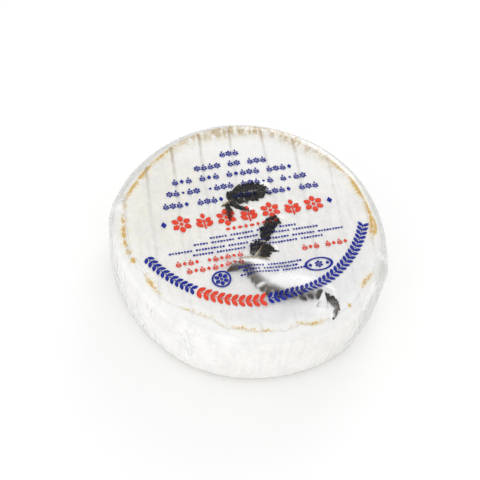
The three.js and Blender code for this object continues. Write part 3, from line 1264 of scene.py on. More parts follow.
@dataclass
class Fern:
    """One spray of dried fern, its leaflets toothed, waved and curled."""

    name: str
    node: str
    form: WheelForm
    sprays: tuple[Spray, ...]
    loose_blades: tuple[Blade, ...]
    seed: int
    lift: float = 0.05
    wave: float = 0.8
    curl: float = 0.3
    thickness: float = 0.22
    steps: int = 14
    across: int = 6
    tooth_pitch: float = 1.3
    tooth_depth: float = 0.3
    bow: float = 0.1
    ruck: float = 0.12

    def leaflet(self, bm: bmesh.types.BMesh, blade: Blade, dice: random.Random) -> None:
        """Adds one leaflet.

        Args:
            bm: the mesh of all the leaflets.
            blade: its foot, its tip and its width.
            dice: for what makes each leaflet its own.
        """
        (fx, fy), (tx, ty), width = blade
        along = Vector((tx - fx, ty - fy))
        side = Vector((-along.y, along.x)).normalized()
        bow = self.bow * along.length * dice.uniform(-1, 1)
        phase, curl = dice.uniform(-3, 3), self.curl * dice.uniform(0.25, 1)
        tone = max(0.0, dice.gauss(0.05, 0.16))
        teeth = max(3, round(along.length / self.tooth_pitch))
        made = bmesh.ops.create_grid(bm, x_segments=self.steps, y_segments=self.across, size=1)
        layers = [bm.verts.layers.float[name] for name in LEAF_LAYERS]
        for vert in made["verts"]:
            u, v = 0.5 + vert.co.x / 2, vert.co.y
            notch = 0.5 + 0.5 * math.cos(2 * math.pi * teeth * u)
            tooth = 1 - self.tooth_depth * abs(v) * notch
            half = 0.5 * width * max(0.07, math.sin(math.pi * (0.09 + 0.88 * u))) * tooth
            spot = Vector((fx, fy)) + along * u + side * (v * half + bow * math.sin(math.pi * u))
            wave = 0.5 * self.wave * (1 + math.sin(phase + 5 * u)) * (0.25 + 0.75 * u)
            ruck = self.ruck * math.sin(9 * u + 3 * v + phase)
            z = float(self.form.surface(spot.x, spot.y)) + self.lift + wave + ruck + curl * half * v * v
            vert.co = (spot.x, spot.y, z)
            for layer, value in zip(layers, (v, tone, u * teeth)):
                vert[layer] = value

    def build(self) -> bpy.types.Object:
        """Makes the leaflets.

        Returns:
            The piece in millimetres.
        """
        dice = random.Random(self.seed)
        bm = bmesh.new()
        for name in LEAF_LAYERS:
            bm.verts.layers.float.new(name)
        for spray in self.sprays:
            for blade in spray.blades(dice):
                self.leaflet(bm, blade, dice)
        for blade in self.loose_blades:
            self.leaflet(bm, blade, dice)
        bmesh.ops.recalc_face_normals(bm, faces=bm.faces)
        bmesh.ops.solidify(bm, geom=list(bm.faces), thickness=self.thickness)
        return new_piece(self.name, bm)

    def stalks(self) -> bpy.types.Object:
        """Makes the stalks that carry the leaflets.

        Returns:
            The piece in millimetres.
        """
        bm = bmesh.new()
        shade = bm.verts.layers.float.new("shade")
        for spray in self.sprays:
            count = max(8, 4 * len(spray.stalk))
            previous: list = []
            for i in range(count + 1):
                spot, heading = spray.curve(i / count)
                radius = spray.girth * (1 - 0.5 * i / count)
                z = float(self.form.surface(spot.x, spot.y)) + self.lift + spray.rise
                turn = heading.to_track_quat("Z", "Y").to_matrix().to_4x4()
                matrix = Matrix.Translation((spot.x, spot.y, z)) @ turn
                ring = bmesh.ops.create_circle(bm, segments=8, radius=radius, matrix=matrix,
                                               cap_ends=i in (0, count))["verts"]
                for vert in ring:
                    vert[shade] = spray.shade * float(smoothstep(-0.02, 0.2, i / count))
                edges = list({e for v in ring for e in v.link_edges})
                if previous:
                    bmesh.ops.bridge_loops(bm, edges=previous + edges)
                previous = edges
        bmesh.ops.remove_doubles(bm, verts=bm.verts, dist=1e-4)
        bmesh.ops.recalc_face_normals(bm, faces=bm.faces)
        return new_piece(self.name.replace("leaves", "stalk"), bm)


class Post(NamedTuple):
    """A place where a stalk or a fold holds the film up: its place, rise and width."""

    x: float
    y: float
    rise: float
    width: float


@dataclass
class FilmSheet:
    """Height of the film over the face: pulled down on the cheese, tented over the fern.

    The film is relaxed on a grid of the given reach and pitch. It stays clear of what lies
    under it. Pull draws it down everywhere, and hug more so on the far part of the face.
    """

    form: WheelForm
    reach: float = 84
    pitch: float = 1.0
    clear: float = 0.16
    pull: float = 0.006
    hug: float = 0.06
    rounds: int = 700
    spread_over: float = 0.4
    spread_cap: float = 5
    posts: tuple[Post, ...] = (
        Post(43.6, -40, 2.6, 1.5), Post(4.5, -23.6, 1.9, 2.2), Post(-6, -32, 3.4, 4),
        Post(3, -31, 3.8, 3.5), Post(8, -37, 4.0, 4.5), Post(16, -43, 4.2, 4.5),
        Post(27, -45, 4.2, 5), Post(37, -44, 3.6, 3.5),
    )

    def __post_init__(self) -> None:
        """Lays out the grid of the plan."""
        self.axis = np.arange(-self.reach, self.reach + self.pitch, self.pitch)
        self.x, self.y = np.meshgrid(self.axis, self.axis, indexing="ij")
        self.height = self.form.surface(self.x, self.y)
        self.rest = self.height.copy()
        self.slack = np.zeros_like(self.rest)
        self.covered = np.zeros_like(self.rest)

    def cover(self, pieces: Iterable[bpy.types.Object]) -> np.ndarray:
        """Height that the film needs over what lies on the face.

        Args:
            pieces: the fern's pieces, still in millimetres.

        Returns:
            A height for each point of the grid.
        """
        need = self.rest.copy()
        for piece in pieces:
            points = read_points(piece.data)
            faces = [tuple(p.vertices) for p in piece.data.polygons]
            tree = BVHTree.FromPolygons([tuple(p) for p in points], faces)
            low, high = points.min(0) - 1, points.max(0) + 1
            inside = (self.x > low[0]) & (self.x < high[0]) & (self.y > low[1]) & (self.y < high[1])
            for i, j in np.argwhere(inside):
                hit = tree.ray_cast(Vector((self.x[i, j], self.y[i, j], 90)), Vector((0, 0, -1)))[0]
                if hit is not None:
                    need[i, j] = max(need[i, j], hit.z + self.clear)
        return need

    def rest_on(self, pieces: Iterable[bpy.types.Object]) -> None:
        """Raises the film over what lies on the face, and pulls it tight round it.

        Args:
            pieces: the fern's pieces, still in millimetres.
        """
        below = self.cover(pieces)
        need = below.copy()
        self.covered = smoothstep(0.06, 0.25, below - self.rest)
        for post in self.posts:
            away = np.hypot(self.x - post.x, self.y - post.y)
            need = np.maximum(need, self.rest + post.rise * bell(away, 0, post.width))
        spread = need.copy()
        for axis, step in ((0, 1), (0, -1), (1, 1), (1, -1)):
            beside = np.minimum(np.roll(need, step, axis), self.rest + self.spread_cap)
            spread = np.maximum(spread, beside)
        need = np.where(spread > self.rest + self.spread_over, spread, need)
        film = need.copy()
        pull = self.pull + self.hug * smoothstep(-20, -6, self.y)
        for _ in range(self.rounds):
            around = (np.roll(film, 1, 0) + np.roll(film, -1, 0)
                      + np.roll(film, 1, 1) + np.roll(film, -1, 1)) / 4
            film = np.maximum(need, around - pull)
        inner = smoothstep(self.form.radius - 1, self.form.radius - 5, np.hypot(self.x, self.y))
        self.height = self.rest + (film - self.rest) * inner
        slack = np.maximum(self.height - below, 0)
        shifts = [(i, j) for i in (-1, 0, 1) for j in (-1, 0, 1)]
        self.slack = np.min([np.roll(slack, shift, (0, 1)) for shift in shifts], axis=0)

    def at(self, x: np.ndarray, y: np.ndarray) -> np.ndarray:
        """Lift of the film over the wheel's own surface at points of the plan."""
        return self.read(self.height - self.rest, x, y)

    def read(self, grid: np.ndarray, x: np.ndarray, y: np.ndarray) -> np.ndarray:
        """Blends the values of one of the grids.

        Args:
            grid: the grid.
            x: place across the face.
            y: place away from the camera.

        Returns:
            The grid's value at each point.
        """
        u = np.clip((np.asarray(x, float) + self.reach) / self.pitch, 0, len(self.axis) - 1.001)
        v = np.clip((np.asarray(y, float) + self.reach) / self.pitch, 0, len(self.axis) - 1.001)
        i, j = u.astype(int), v.astype(int)
        a, b = u - i, v - j
        return ((grid[i, j] * (1 - a) + grid[i + 1, j] * a) * (1 - b)
                + (grid[i, j + 1] * (1 - a) + grid[i + 1, j + 1] * a) * b)

    def top(self, x: np.ndarray, y: np.ndarray) -> np.ndarray:
        """Height of the film at points of the plan."""
        return self.form.surface(x, y) + self.at(x, y)


@dataclass(frozen=True)
class Glare:
    """A patch of the face where the film's sheen whitens it."""

    at: Plan
    reach: Plan
    turn: float
    strength: float


@dataclass
class Film:
    """The clear film round the wheel, a thin shell."""

    form: WheelForm
    sheet: FilmSheet
    rings: Ring = Ring(around=400, face=66, edge=14, side=20, base=6)
    thickness: float = 0.06
    # Patches of painted sheen on the film.
    glares: tuple[Glare, ...] = (
        Glare((4.5, -26.6), (7.5, 1.5), 3, 0.8),
        Glare((24, -36), (13, 4), 10, 0.2),
        Glare((44, -52), (6, 3), 18, 0.45),
        Glare((49.6, -55), (1.3, 2.2), 20, 0.9),
        Glare((9.6, -42.2), (2.6, 0.8), 35, 0.7),
        Glare((75.5, -10), (3, 2.2), 0, 0.5),
        Glare((-76, -1), (3, 3), 0, 0.6),
    )

    def build(self) -> bpy.types.Object:
        """Makes the film.

        Returns:
            The piece in millimetres, with the attributes that its finish reads.
        """
        form = self.form
        piece = Spun(form, self.rings).spin("film")
        points = read_points(piece.data)
        radius, level = np.hypot(points[:, 0], points[:, 1]), points[:, 2]
        angle = np.arctan2(points[:, 1], points[:, 0])
        share = radius / form.radius
        rim = smoothstep(0.9, 1, share)
        grown = radius + share * form.growth(angle) + rim * form.corner_growth(angle, level)
        grown = grown + rim * self.gathers(angle, level)
        x, y = grown * np.cos(angle), grown * np.sin(angle)
        upper = smoothstep(form.height / 2, form.height, level)
        top = level > form.height / 2
        lift = self.sheet.at(x, y) * smoothstep(0.99, 0.93, share) * top
        z = level + upper * form.relief(x, y) + lift
        write_points(piece.data, np.stack([x, y, z], 1))
        slack = self.sheet.read(self.sheet.slack, x, y) * smoothstep(0.99, 0.93, share) * top
        loose = np.clip(slack / 2.6, 0, 1)
        strip = sum(b.share(angle, level, form.height) * min(1, b.depth / 2) for b in FILM_BRIDGES)
        standoff_shade = np.clip(strip * smoothstep(0.9, 0.97, share), 0, 1)
        store(piece.data, "loose", loose)
        # Painted grey shade where the film stands off the rim, and a little where it is tented.
        store(piece.data, "standoff_shade", np.clip(standoff_shade + 0.25 * loose, 0, 1))
        # Painted sheen of the glare patches, with a little real milkiness where the film stands off.
        store(piece.data, "milk_and_sheen", np.clip(0.004 + 0.01 * loose + top * self.sheen(x, y), 0, 1))
        store(piece.data, "wrap", np.stack([np.cos(angle) * 11, np.sin(angle) * 11, level * 0.035], 1))
        store(piece.data, "side", smoothstep(0.86, 0.97, share))
        return piece

    def sheen(self, x: np.ndarray, y: np.ndarray) -> np.ndarray:
        """How much sheen whitens the face.

        Args:
            x: place across the face.
            y: place away from the camera.

        Returns:
            From 0 up, at each point.
        """
        total = np.zeros_like(x)
        for glare in self.glares:
            turn = math.radians(glare.turn)
            dx, dy = x - glare.at[0], y - glare.at[1]
            u = (dx * math.cos(turn) + dy * math.sin(turn)) / glare.reach[0]
            v = (-dx * math.sin(turn) + dy * math.cos(turn)) / glare.reach[1]
            total = total + glare.strength * np.exp(-u * u - v * v)
        return total

    def gathers(self, angle: np.ndarray, level: np.ndarray) -> np.ndarray:
        """Fine folds down the side, where the film is gathered under the wheel.

        Args:
            angle: round the axis, in radians.
            level: height of each point.

        Returns:
            How far each point stands out.
        """
        slant = angle + 0.012 * (level - 20)
        fold = sum(bell(turn_from(slant, azimuth), 0, 0.9) for azimuth in range(7, 360, 17))
        cross = np.abs(np.sin(13 * slant + 0.11 * level)) ** 8
        low = smoothstep(self.form.height, self.form.height * 0.3, level)
        panel = bell(turn_from(angle, 332), 0, 9)
        panel = panel + 1.7 * bell(turn_from(angle, 339.5), 0, 5) * smoothstep(12, 28, level)
        crumple = bell(turn_from(angle, 222), 0, 22) + 0.6 * bell(turn_from(angle, 338), 0, 12)
        rough = np.sin(41 * angle + 0.5 * level) * np.sin(29 * angle - 0.37 * level + 1)
        return 0.1 * fold * (0.4 + 0.6 * low) + 0.05 * cross + 0.24 * crumple * rough * low - panel

    def finish_wall(self, piece: bpy.types.Object) -> None:
        """Gives the film its thickness, inwards.

        Args:
            piece: the film in its place.
        """
        wall = piece.modifiers.new("wall", "SOLIDIFY")
        wall.thickness = self.thickness * MM
        wall.offset = -1


@dataclass(frozen=True)
class Crease:
    """A doubled fold of the film: its path by azimuth and level, or over the face, and width."""

    path: tuple[Plan, ...]
    width: float
    on_face: bool = False
    flares: bool = False


@dataclass
class Creases:
    """Folds where the film is doubled, slim strips that hug it."""

    film: bpy.types.Object
    form: WheelForm
    creases: tuple[Crease, ...]
    rise: float = 0.12
    thickness: float = 0.05

    def build(self) -> bpy.types.Object:
        """Makes the folds.

        Returns:
            The piece in millimetres.
        """
        points = read_points(self.film.data)
        faces = [tuple(p.vertices) for p in self.film.data.polygons]
        tree = BVHTree.FromPolygons([tuple(p) for p in points], faces)
        bm = bmesh.new()
        bm.verts.layers.float.new("milk_and_sheen")
        for crease in self.creases:
            self.lay(bm, crease, tree)
        bmesh.ops.recalc_face_normals(bm, faces=bm.faces)
        bmesh.ops.solidify(bm, geom=list(bm.faces), thickness=self.thickness)
        piece = new_piece("film_folds", bm)
        blank = np.zeros(len(piece.data.vertices))
        for name in ("loose", "side"):
            store(piece.data, name, blank)
        # Painted grey shade on the folds.
        store(piece.data, "standoff_shade", blank + 0.5)
        store(piece.data, "wrap", read_points(piece.data) * 0.1)
        return piece

    def spot(self, crease: Crease, part: float) -> Vector:
        """Point of a crease's path, before it is laid on the film.

        Args:
            crease: the crease.
            part: 0 at its start and 1 at its end.

        Returns:
            The point, near the film.
        """
        line = [Vector((*p, 0)) for p in crease.path]
        spans = len(line) - 1
        index = min(int(part * spans), spans - 1)
        a, b = line[index], line[index + 1]
        mixed = a.lerp(b, part * spans - index)
        if crease.on_face:
            return Vector((mixed.x, mixed.y, float(self.form.surface(mixed.x, mixed.y))))
        turn = math.radians(mixed.x)
        reach = self.form.radius + float(self.form.growth(np.array(turn))) + 0.8
        return Vector((reach * math.cos(turn), reach * math.sin(turn), mixed.y))

    def lay(self, bm: bmesh.types.BMesh, crease: Crease, tree: BVHTree) -> None:
        """Adds one fold, hugging the film.

        Args:
            bm: the mesh of all the folds.
            crease: the fold's path and width.
            tree: the film's faces.
        """
        length = (self.spot(crease, 1) - self.spot(crease, 0)).length
        steps = max(6, round(length / 1.2))
        made = bmesh.ops.create_grid(bm, x_segments=steps, y_segments=2, size=1)
        fold_sheen = bm.verts.layers.float["milk_and_sheen"]
        for vert in made["verts"]:
            part, across = 0.5 + vert.co.x / 2, vert.co.y
            fade = float(smoothstep(0.5, 0.9, part)) if crease.flares else 0.0
            # Painted highlight along the folds, strongest on the flared fold.
            vert[fold_sheen] = 0.7 * (1 - fade) if crease.flares else 0.35
            here = self.spot(crease, part)
            ahead = self.spot(crease, min(part + 0.02, 1)) - self.spot(crease, max(part - 0.02, 0))
            spot, normal, _, _ = tree.find_nearest(here)
            side = normal.cross(ahead).normalized()
            taper = part if crease.flares else math.sin(math.pi * (0.04 + 0.92 * part)) ** 0.6
            spot, normal, _, _ = tree.find_nearest(spot + side * (across * crease.width / 2 * taper))
            vert.co = spot + normal * (0.07 + self.rise * (1 - abs(across)) - 0.3 * fade)


class Ink(Enum):
    """The two inks of the print."""

    BLUE = "blue_print"
    RED = "red_print"


class Motif(Enum):
    """Simple shapes of the print."""

    LEAF = "leaf"
    DOT = "dot"
    DIAMOND = "diamond"
    BAR = "bar"
    RING = "ring"
    FLOWER = "flower"
    SPRIG = "sprig"


@dataclass(frozen=True)
class Mark:
    """One printed shape: its kind, place, turn in degrees, length and height."""

    motif: Motif
    at: Plan
    turn: float
    long: float
    tall: float


@dataclass
class Print:
    """Print on the film: rows of simple shapes and a garland, in two inks."""

    sheet: FilmSheet
    tilt: float = 21.2
    middle: Plan = (-2.6, 7.2)
    centre: Plan = (-5.9, 15.8)
    gap: float = 0.07
    thickness: float = 0.02
    longest_edge: float = 1.3
    marks: dict[Ink, list[Mark]] = field(default_factory=lambda: {ink: [] for ink in Ink})

    def spot(self, u: float, v: float) -> Plan:
        """Place in the plan of a point of the print's own axes."""
        turn = math.radians(self.tilt)
        return (
            self.middle[0] + u * math.cos(turn) - v * math.sin(turn),
            self.middle[1] + u * math.sin(turn) + v * math.cos(turn),
        )

    def add(self, ink: Ink, motif: Motif, u: float, v: float, long: float, tall: float,
            turn: float = 0) -> None:
        """Prints one mark at a point of the print's own axes."""
        self.marks[ink].append(Mark(motif, self.spot(u, v), self.tilt + turn, long, tall))

    def row(self, ink: Ink, span: Plan, v: float, pitch: float,
            pattern: Sequence[tuple[Motif, float, float]], gaps: Sequence[int] = ()) -> None:
        """Prints a straight row.

        Args:
            ink: the row's ink.
            span: where the row starts and ends along the print.
            v: the row's height on the print.
            pitch: from one mark to the next.
            pattern: motifs in turn, each with its length and height.
            gaps: numbers of the marks that are left out.
        """
        count = max(1, round((span[1] - span[0]) / pitch))
        for i in range(count + 1):
            if i not in gaps:
                motif, long, tall = pattern[i % len(pattern)]
                self.add(ink, motif, span[0] + (span[1] - span[0]) * i / count, v, long, tall)

    def garland(self, ink: Ink, radius: float, span: Plan, pitch: float, leaf: Plan) -> None:
        """Prints a stem along an arc, with a leaf on each side of every joint.

        Args:
            ink: the garland's ink.
            radius: the arc's radius.
            span: angles of the first and the last joint, in degrees.
            pitch: from one joint to the next.
            leaf: length and width of a leaf.
        """
        count = max(1, round(math.radians(span[1] - span[0]) * radius / pitch))
        for i in range(count + 1):
            turn = span[0] + (span[1] - span[0]) * i / count
            for side in (-1, 1):
                reach = radius + side * (0.3 * leaf[0] + 0.4)
                spot = self.round_spot(turn, reach)
                self.marks[ink].append(Mark(Motif.LEAF, spot, turn + 90 - side * 48, *leaf))
            if i < count:
                turn += 0.5 * (span[1] - span[0]) / count
                stem = (pitch - 0.5, 0.5)
                self.marks[ink].append(Mark(Motif.BAR, self.round_spot(turn, radius), turn + 90, *stem))

    def round_spot(self, turn: float, reach: float) -> Plan:
        """Place in the plan on a circle round the garland's centre."""
        angle = math.radians(turn)
        return self.centre[0] + reach * math.cos(angle), self.centre[1] + reach * math.sin(angle)

    def draw(self, bm: bmesh.types.BMesh, mark: Mark) -> None:
        """Adds one flat mark, at its place and turn in the plan.

        Args:
            bm: the mesh that it goes into.
            mark: the mark.
        """
        here = Matrix.Translation((*mark.at, 0)) @ Matrix.Rotation(math.radians(mark.turn), 4, "Z")
        half = (mark.long / 2, mark.tall / 2)
        drawn = {
            Motif.RING: self.ring, Motif.FLOWER: self.flower, Motif.SPRIG: self.sprig,
            Motif.LEAF: self.lens, Motif.BAR: self.bar,
        }
        if mark.motif in drawn:
            drawn[mark.motif](bm, here, half)
        else:
            segments = 4 if mark.motif is Motif.DIAMOND else 12
            sized = here @ Matrix.Diagonal((*half, 1, 1))
            bmesh.ops.create_circle(bm, segments=segments, radius=1, cap_ends=True, matrix=sized)

    def bar(self, bm: bmesh.types.BMesh, here: Matrix, half: Plan) -> None:
        """Adds a bar with soft corners.

        Args:
            bm: the mesh that it goes into.
            here: its place and turn.
            half: half of its length and of its height.
        """
        made = bmesh.ops.create_grid(bm, x_segments=1, y_segments=1, size=1,
                                     matrix=here @ Matrix.Diagonal((*half, 1, 1)))
        edges = list({e for v in made["verts"] for e in v.link_edges})
        bmesh.ops.bevel(bm, geom=made["verts"] + edges, offset=0.45 * min(half), offset_type="OFFSET",
                        affect="VERTICES", segments=2, profile=0.5, material=-1)

    def lens(self, bm: bmesh.types.BMesh, here: Matrix, half: Plan, sides: int = 14) -> None:
        """Adds a leaf shape, pointed at both ends.

        Args:
            bm: the mesh that it goes into.
            here: its place and turn.
            half: half of its length and of its height.
            sides: how many sides it has.
        """
        made = bmesh.ops.create_circle(bm, segments=sides, radius=1, cap_ends=True)
        for vert in made["verts"]:
            narrow = 1 - 0.4 * vert.co.x ** 2
            vert.co = here @ Vector((vert.co.x * half[0], vert.co.y * half[1] * narrow, 0))

    def flower(self, bm: bmesh.types.BMesh, here: Matrix, half: Plan, petals: int = 6) -> None:
        """Adds petals round a dot.

        Args:
            bm: the mesh that it goes into.
            here: its place and turn.
            half: half of its length and of its height.
            petals: how many there are.
        """
        for i in range(petals):
            petal = here @ Matrix.Rotation(2 * math.pi * (i + 0.5) / petals, 4, "Z")
            petal = petal @ Matrix.Translation((half[0] * 0.66, 0, 0))
            self.lens(bm, petal, (half[0] * 0.37, half[0] * 0.3))
        dot = here @ Matrix.Scale(half[0] * 0.2, 4)
        bmesh.ops.create_circle(bm, segments=12, radius=1, cap_ends=True, matrix=dot)

    def sprig(self, bm: bmesh.types.BMesh, here: Matrix, half: Plan) -> None:
        """Adds a stem with two pairs of leaves and one at its top.

        Args:
            bm: the mesh that it goes into.
            here: its place and turn.
            half: half of its length and of its height.
        """
        wide, tall = half
        self.bar(bm, here @ Matrix.Translation((0, -0.4 * tall, 0)), (0.1 * wide, 0.6 * tall))
        for side in (-1, 1):
            for level, size in ((-0.42, 1), (0.1, 0.85)):
                leaf = here @ Matrix.Translation((side * 0.56 * wide * size, level * tall, 0))
                leaf = leaf @ Matrix.Rotation(side * math.radians(42), 4, "Z")
                self.lens(bm, leaf, (0.5 * wide * size, 0.29 * wide))
        top = here @ Matrix.Translation((0, 0.66 * tall, 0)) @ Matrix.Rotation(math.pi / 2, 4, "Z")
        self.lens(bm, top, (0.34 * tall, 0.26 * wide))

    def ring(self, bm: bmesh.types.BMesh, here: Matrix, half: Plan, wall: float = 0.2) -> None:
        """Adds an oval ring.

        Args:
            bm: the mesh that it goes into.
            here: its place and turn.
            half: half of its length and of its height.
            wall: its width, as a share of half.
        """
        loops = []
        for scale in (1, 1 - wall):
            stretch = Matrix.Diagonal((half[0] * scale, half[1] * scale, 1, 1))
            made = bmesh.ops.create_circle(bm, segments=36, radius=1, matrix=here @ stretch)
            loops += list({e for v in made["verts"] for e in v.link_edges})
        bmesh.ops.bridge_loops(bm, edges=loops)

    def lay_out(self) -> None:
        """Sets the rows of small shapes, the two emblems and the garland."""
        dot, gem = (Motif.DOT, 1.6, 1.6), (Motif.DIAMOND, 2.6, 3.4)
        sprig, bloom = (Motif.SPRIG, 3.9, 5.2), (Motif.FLOWER, 4.3, 4.3)
        for span, v, pitch, pattern, gaps in (
            ((-4, 4), 46, 4, (sprig, bloom), ()),
            ((-21, 19), 38.2, 4, (bloom, sprig, sprig), (4, 7)),
            ((-36, 33), 30.4, 4, (sprig, gem, sprig, bloom), (3, 7, 13)),
            ((-41, 39), 22.2, 4, (bloom, sprig, dot, sprig), (5, 10, 16)),
            ((-45, 44), 13.6, 4, (sprig, bloom, sprig, gem, sprig), (4, 9, 14, 19)),
        ):
            self.row(Ink.BLUE, span, v, pitch, pattern, gaps)
        for i in range(7):
            motif, long = ((Motif.FLOWER, 11.6), (Motif.SPRIG, 10.4))[i % 2]
            self.add(Ink.RED, motif, -39 + 13 * i, 0, long, 11.2)
        for side in (-1, 1):
            self.add(Ink.BLUE, Motif.DIAMOND, side * 49, 1, 3.4, 4.6)
        self.row(Ink.RED, (-14, 14), -8.2, 3.5, ((Motif.LEAF, 2.9, 1.9), (Motif.DIAMOND, 2.2, 3.1)))
        dashes = ((Motif.LEAF, 1.7, 1.4), (Motif.DOT, 1.2, 1.2), (Motif.BAR, 0.9, 1.5))
        for span, v, gaps in (
            ((-25, 24), -12.6, (6, 15, 23)),
            ((-35, 36), -15.8, (5, 14, 22, 33)),
            ((-50, 50), -19.6, (8, 19, 27, 41, 50)),
            ((-37, 37), -22.8, (7, 18, 25, 36)),
            ((-15, 20), -37.4, (9,)),
            ((-13, 17), -39.8, (6,)),
            ((-15, 21), -42.2, (13,)),
        ):
            self.row(Ink.BLUE, span, v, 1.7, dashes, gaps)
        tulips = ((Motif.SPRIG, 3.5, 4.6), (Motif.DIAMOND, 2.3, 2.9))
        self.row(Ink.RED, (-47, -12), -27.4, 3.5, tulips, (4,))
        self.row(Ink.RED, (-42, -13), -33, 3.6, tulips)
        self.row(Ink.RED, (25, 49), -29.4, 3.4, tulips, (3,))
        for motif, size in ((Motif.RING, 10.8), (Motif.FLOWER, 8)):
            self.add(Ink.BLUE, motif, -26.2, -41.5, size, size)
        self.add(Ink.BLUE, Motif.RING, 29.5, -42, 16.6, 9.2)
        self.row(Ink.BLUE, (24.5, 34.5), -42, 5, ((Motif.DIAMOND, 2.4, 2.6), (Motif.FLOWER, 4.8, 4.8)))
        self.garland(Ink.BLUE, 69.2, (-133, -107), 3.1, (4.1, 2.1))
        self.garland(Ink.RED, 69.2, (-103.6, -75), 3.8, (5.0, 2.6))
        self.garland(Ink.BLUE, 69.2, (-71.6, -4), 3.1, (4.1, 2.1))

    def build(self, ink: Ink) -> bpy.types.Object:
        """Makes all marks of one ink, laid on the film.

        Args:
            ink: which ink.

        Returns:
            The piece in millimetres.
        """
        bm = bmesh.new()
        for mark in self.marks[ink]:
            self.draw(bm, mark)
        bmesh.ops.triangulate(bm, faces=bm.faces)
        long_edges = [e for e in bm.edges if e.calc_length() > self.longest_edge]
        bmesh.ops.subdivide_edges(bm, edges=long_edges, cuts=1, use_grid_fill=True)
        bmesh.ops.triangulate(bm, faces=bm.faces)
        for face in bm.faces:
            if face.normal.z < 0:
                face.normal_flip()
        for vert in bm.verts:
            vert.co.z = float(self.sheet.top(vert.co.x, vert.co.y)) + self.gap
        bmesh.ops.solidify(bm, geom=list(bm.faces), thickness=-self.thickness)
        piece = new_piece(ink.value, bm)
        points = read_points(piece.data)
        over = self.sheet.covered * np.clip(1 - 0.4 * self.sheet.slack, 0.4, 1)
        store(piece.data, "over", self.sheet.read(over, points[:, 0], points[:, 1]))
        return piece


@dataclass(frozen=True)
class Lamp:
    """A square soft lamp: its place and its side in metres, and its power in watts."""

    name: str
    spot: tuple[float, float, float]
    side: float
    power: float

    def hang(self, target: Vector) -> None:
        """Hangs the lamp so that it looks at the wheel.

        Args:
            target: the point that it looks at.
        """
        light = bpy.data.lights.new(self.name, "AREA")
        light.size = self.side
        light.energy = self.power
        lamp = bpy.data.objects.new(self.name, light)
        lamp.location = self.spot
        lamp.rotation_euler = (target - Vector(self.spot)).to_track_quat("-Z", "Y").to_euler()
        bpy.context.scene.collection.objects.link(lamp)


@dataclass
class Studio:
    """Plain pale floor, soft light and the camera at the photograph's angle."""

    elevation: float = 52.7
    roll: float = 8
    distance: float = 691.25
    aim: tuple[float, float, float] = (0, 0, 19.75)
    focal_px: float = 1190
    middle_px: Plan = (248.2, 247.8)
    picture_px: float = 480
    sensor: float = 36
    ambient: float = 0.945
    sheen: float = 0.18
    lamps: tuple[Lamp, ...] = (
        Lamp("softbox_front", (-0.4, -1.05, 0.4), 0.9, 2.4),
        Lamp("softbox_back", (0.2, 1.1, 0.65), 0.6, 2.4),
    )

    def floor(self) -> None:
        """Lays the floor under the wheel."""
        bm = bmesh.new()
        bmesh.ops.create_grid(bm, x_segments=1, y_segments=1, size=3)
        floor = new_piece("floor", bm)
        finish = Finish("pale_floor")
        nodes = finish.nodes
        cloudy = nodes.noise(nodes.coordinates(), Grain(3, 2))
        colour = nodes.mix(cloudy, (0.98, 0.98, 0.98, 1), (0.995, 0.995, 0.995, 1))
        shader = nodes.add("BsdfPrincipled", {"Base Color": colour, "Roughness": 0.5})
        floor.data.materials.append(finish.show(shader.outputs[0]))

    def sky(self) -> None:
        """Lights the scene softly from all round, dimmer where gloss would mirror it."""
        world = bpy.data.worlds.new("studio")
        bpy.context.scene.world = world
        world.use_nodes = True
        world.node_tree.nodes.clear()
        nodes = Nodes(world.node_tree)
        path = nodes.add("LightPath")
        straight = nodes.math("SUBTRACT", 1, path.outputs["Diffuse Depth"], clamp=True)
        mirrored = nodes.math("MINIMUM", path.outputs["Glossy Depth"], 1)
        mirrored = nodes.math("MULTIPLY", mirrored, straight)
        dimmed = nodes.math("MULTIPLY", mirrored, self.ambient - self.sheen)
        level = nodes.math("SUBTRACT", self.ambient, dimmed)
        light = nodes.add("Background", {"Color": (1, 1, 1, 1), "Strength": level})
        nodes.add("OutputWorld", {"Surface": light.outputs[0]})

    def camera(self, centre: Plan) -> None:
        """Sets the camera up.

        Args:
            centre: where the frame's origin lies in the plan.
        """
        turn = math.radians(self.elevation)
        back = Vector((0, -math.cos(turn), math.sin(turn)))
        aim = Vector(self.aim) - Vector((*centre, 0))
        data = bpy.data.cameras.new("camera")
        data.sensor_width = self.sensor
        data.lens = self.focal_px * self.sensor / self.picture_px
        data.shift_x = (self.picture_px / 2 - self.middle_px[0]) / self.picture_px
        data.shift_y = (self.middle_px[1] - self.picture_px / 2) / self.picture_px
        camera = bpy.data.objects.new("camera", data)
        level = (-back).to_track_quat("-Z", "Y").to_matrix().to_4x4()
        spin = Matrix.Rotation(math.radians(self.roll), 4, "Z")
        camera.matrix_world = Matrix.Translation((aim + back * self.distance) * MM) @ level @ spin
        bpy.context.scene.collection.objects.link(camera)
        bpy.context.scene.camera = camera

    def build(self, centre: Plan) -> None:
        """Sets up floor, light, camera and the picture's tone.

        Args:
            centre: where the frame's origin lies in the plan.
        """
        self.floor()
        self.sky()
        for lamp in self.lamps:
            lamp.hang(Vector((0, 0, 0.02)))
        self.camera(centre)
        view = bpy.context.scene.view_settings
        view.view_transform = "Standard"
        view.look = "None"
        view.exposure = 0


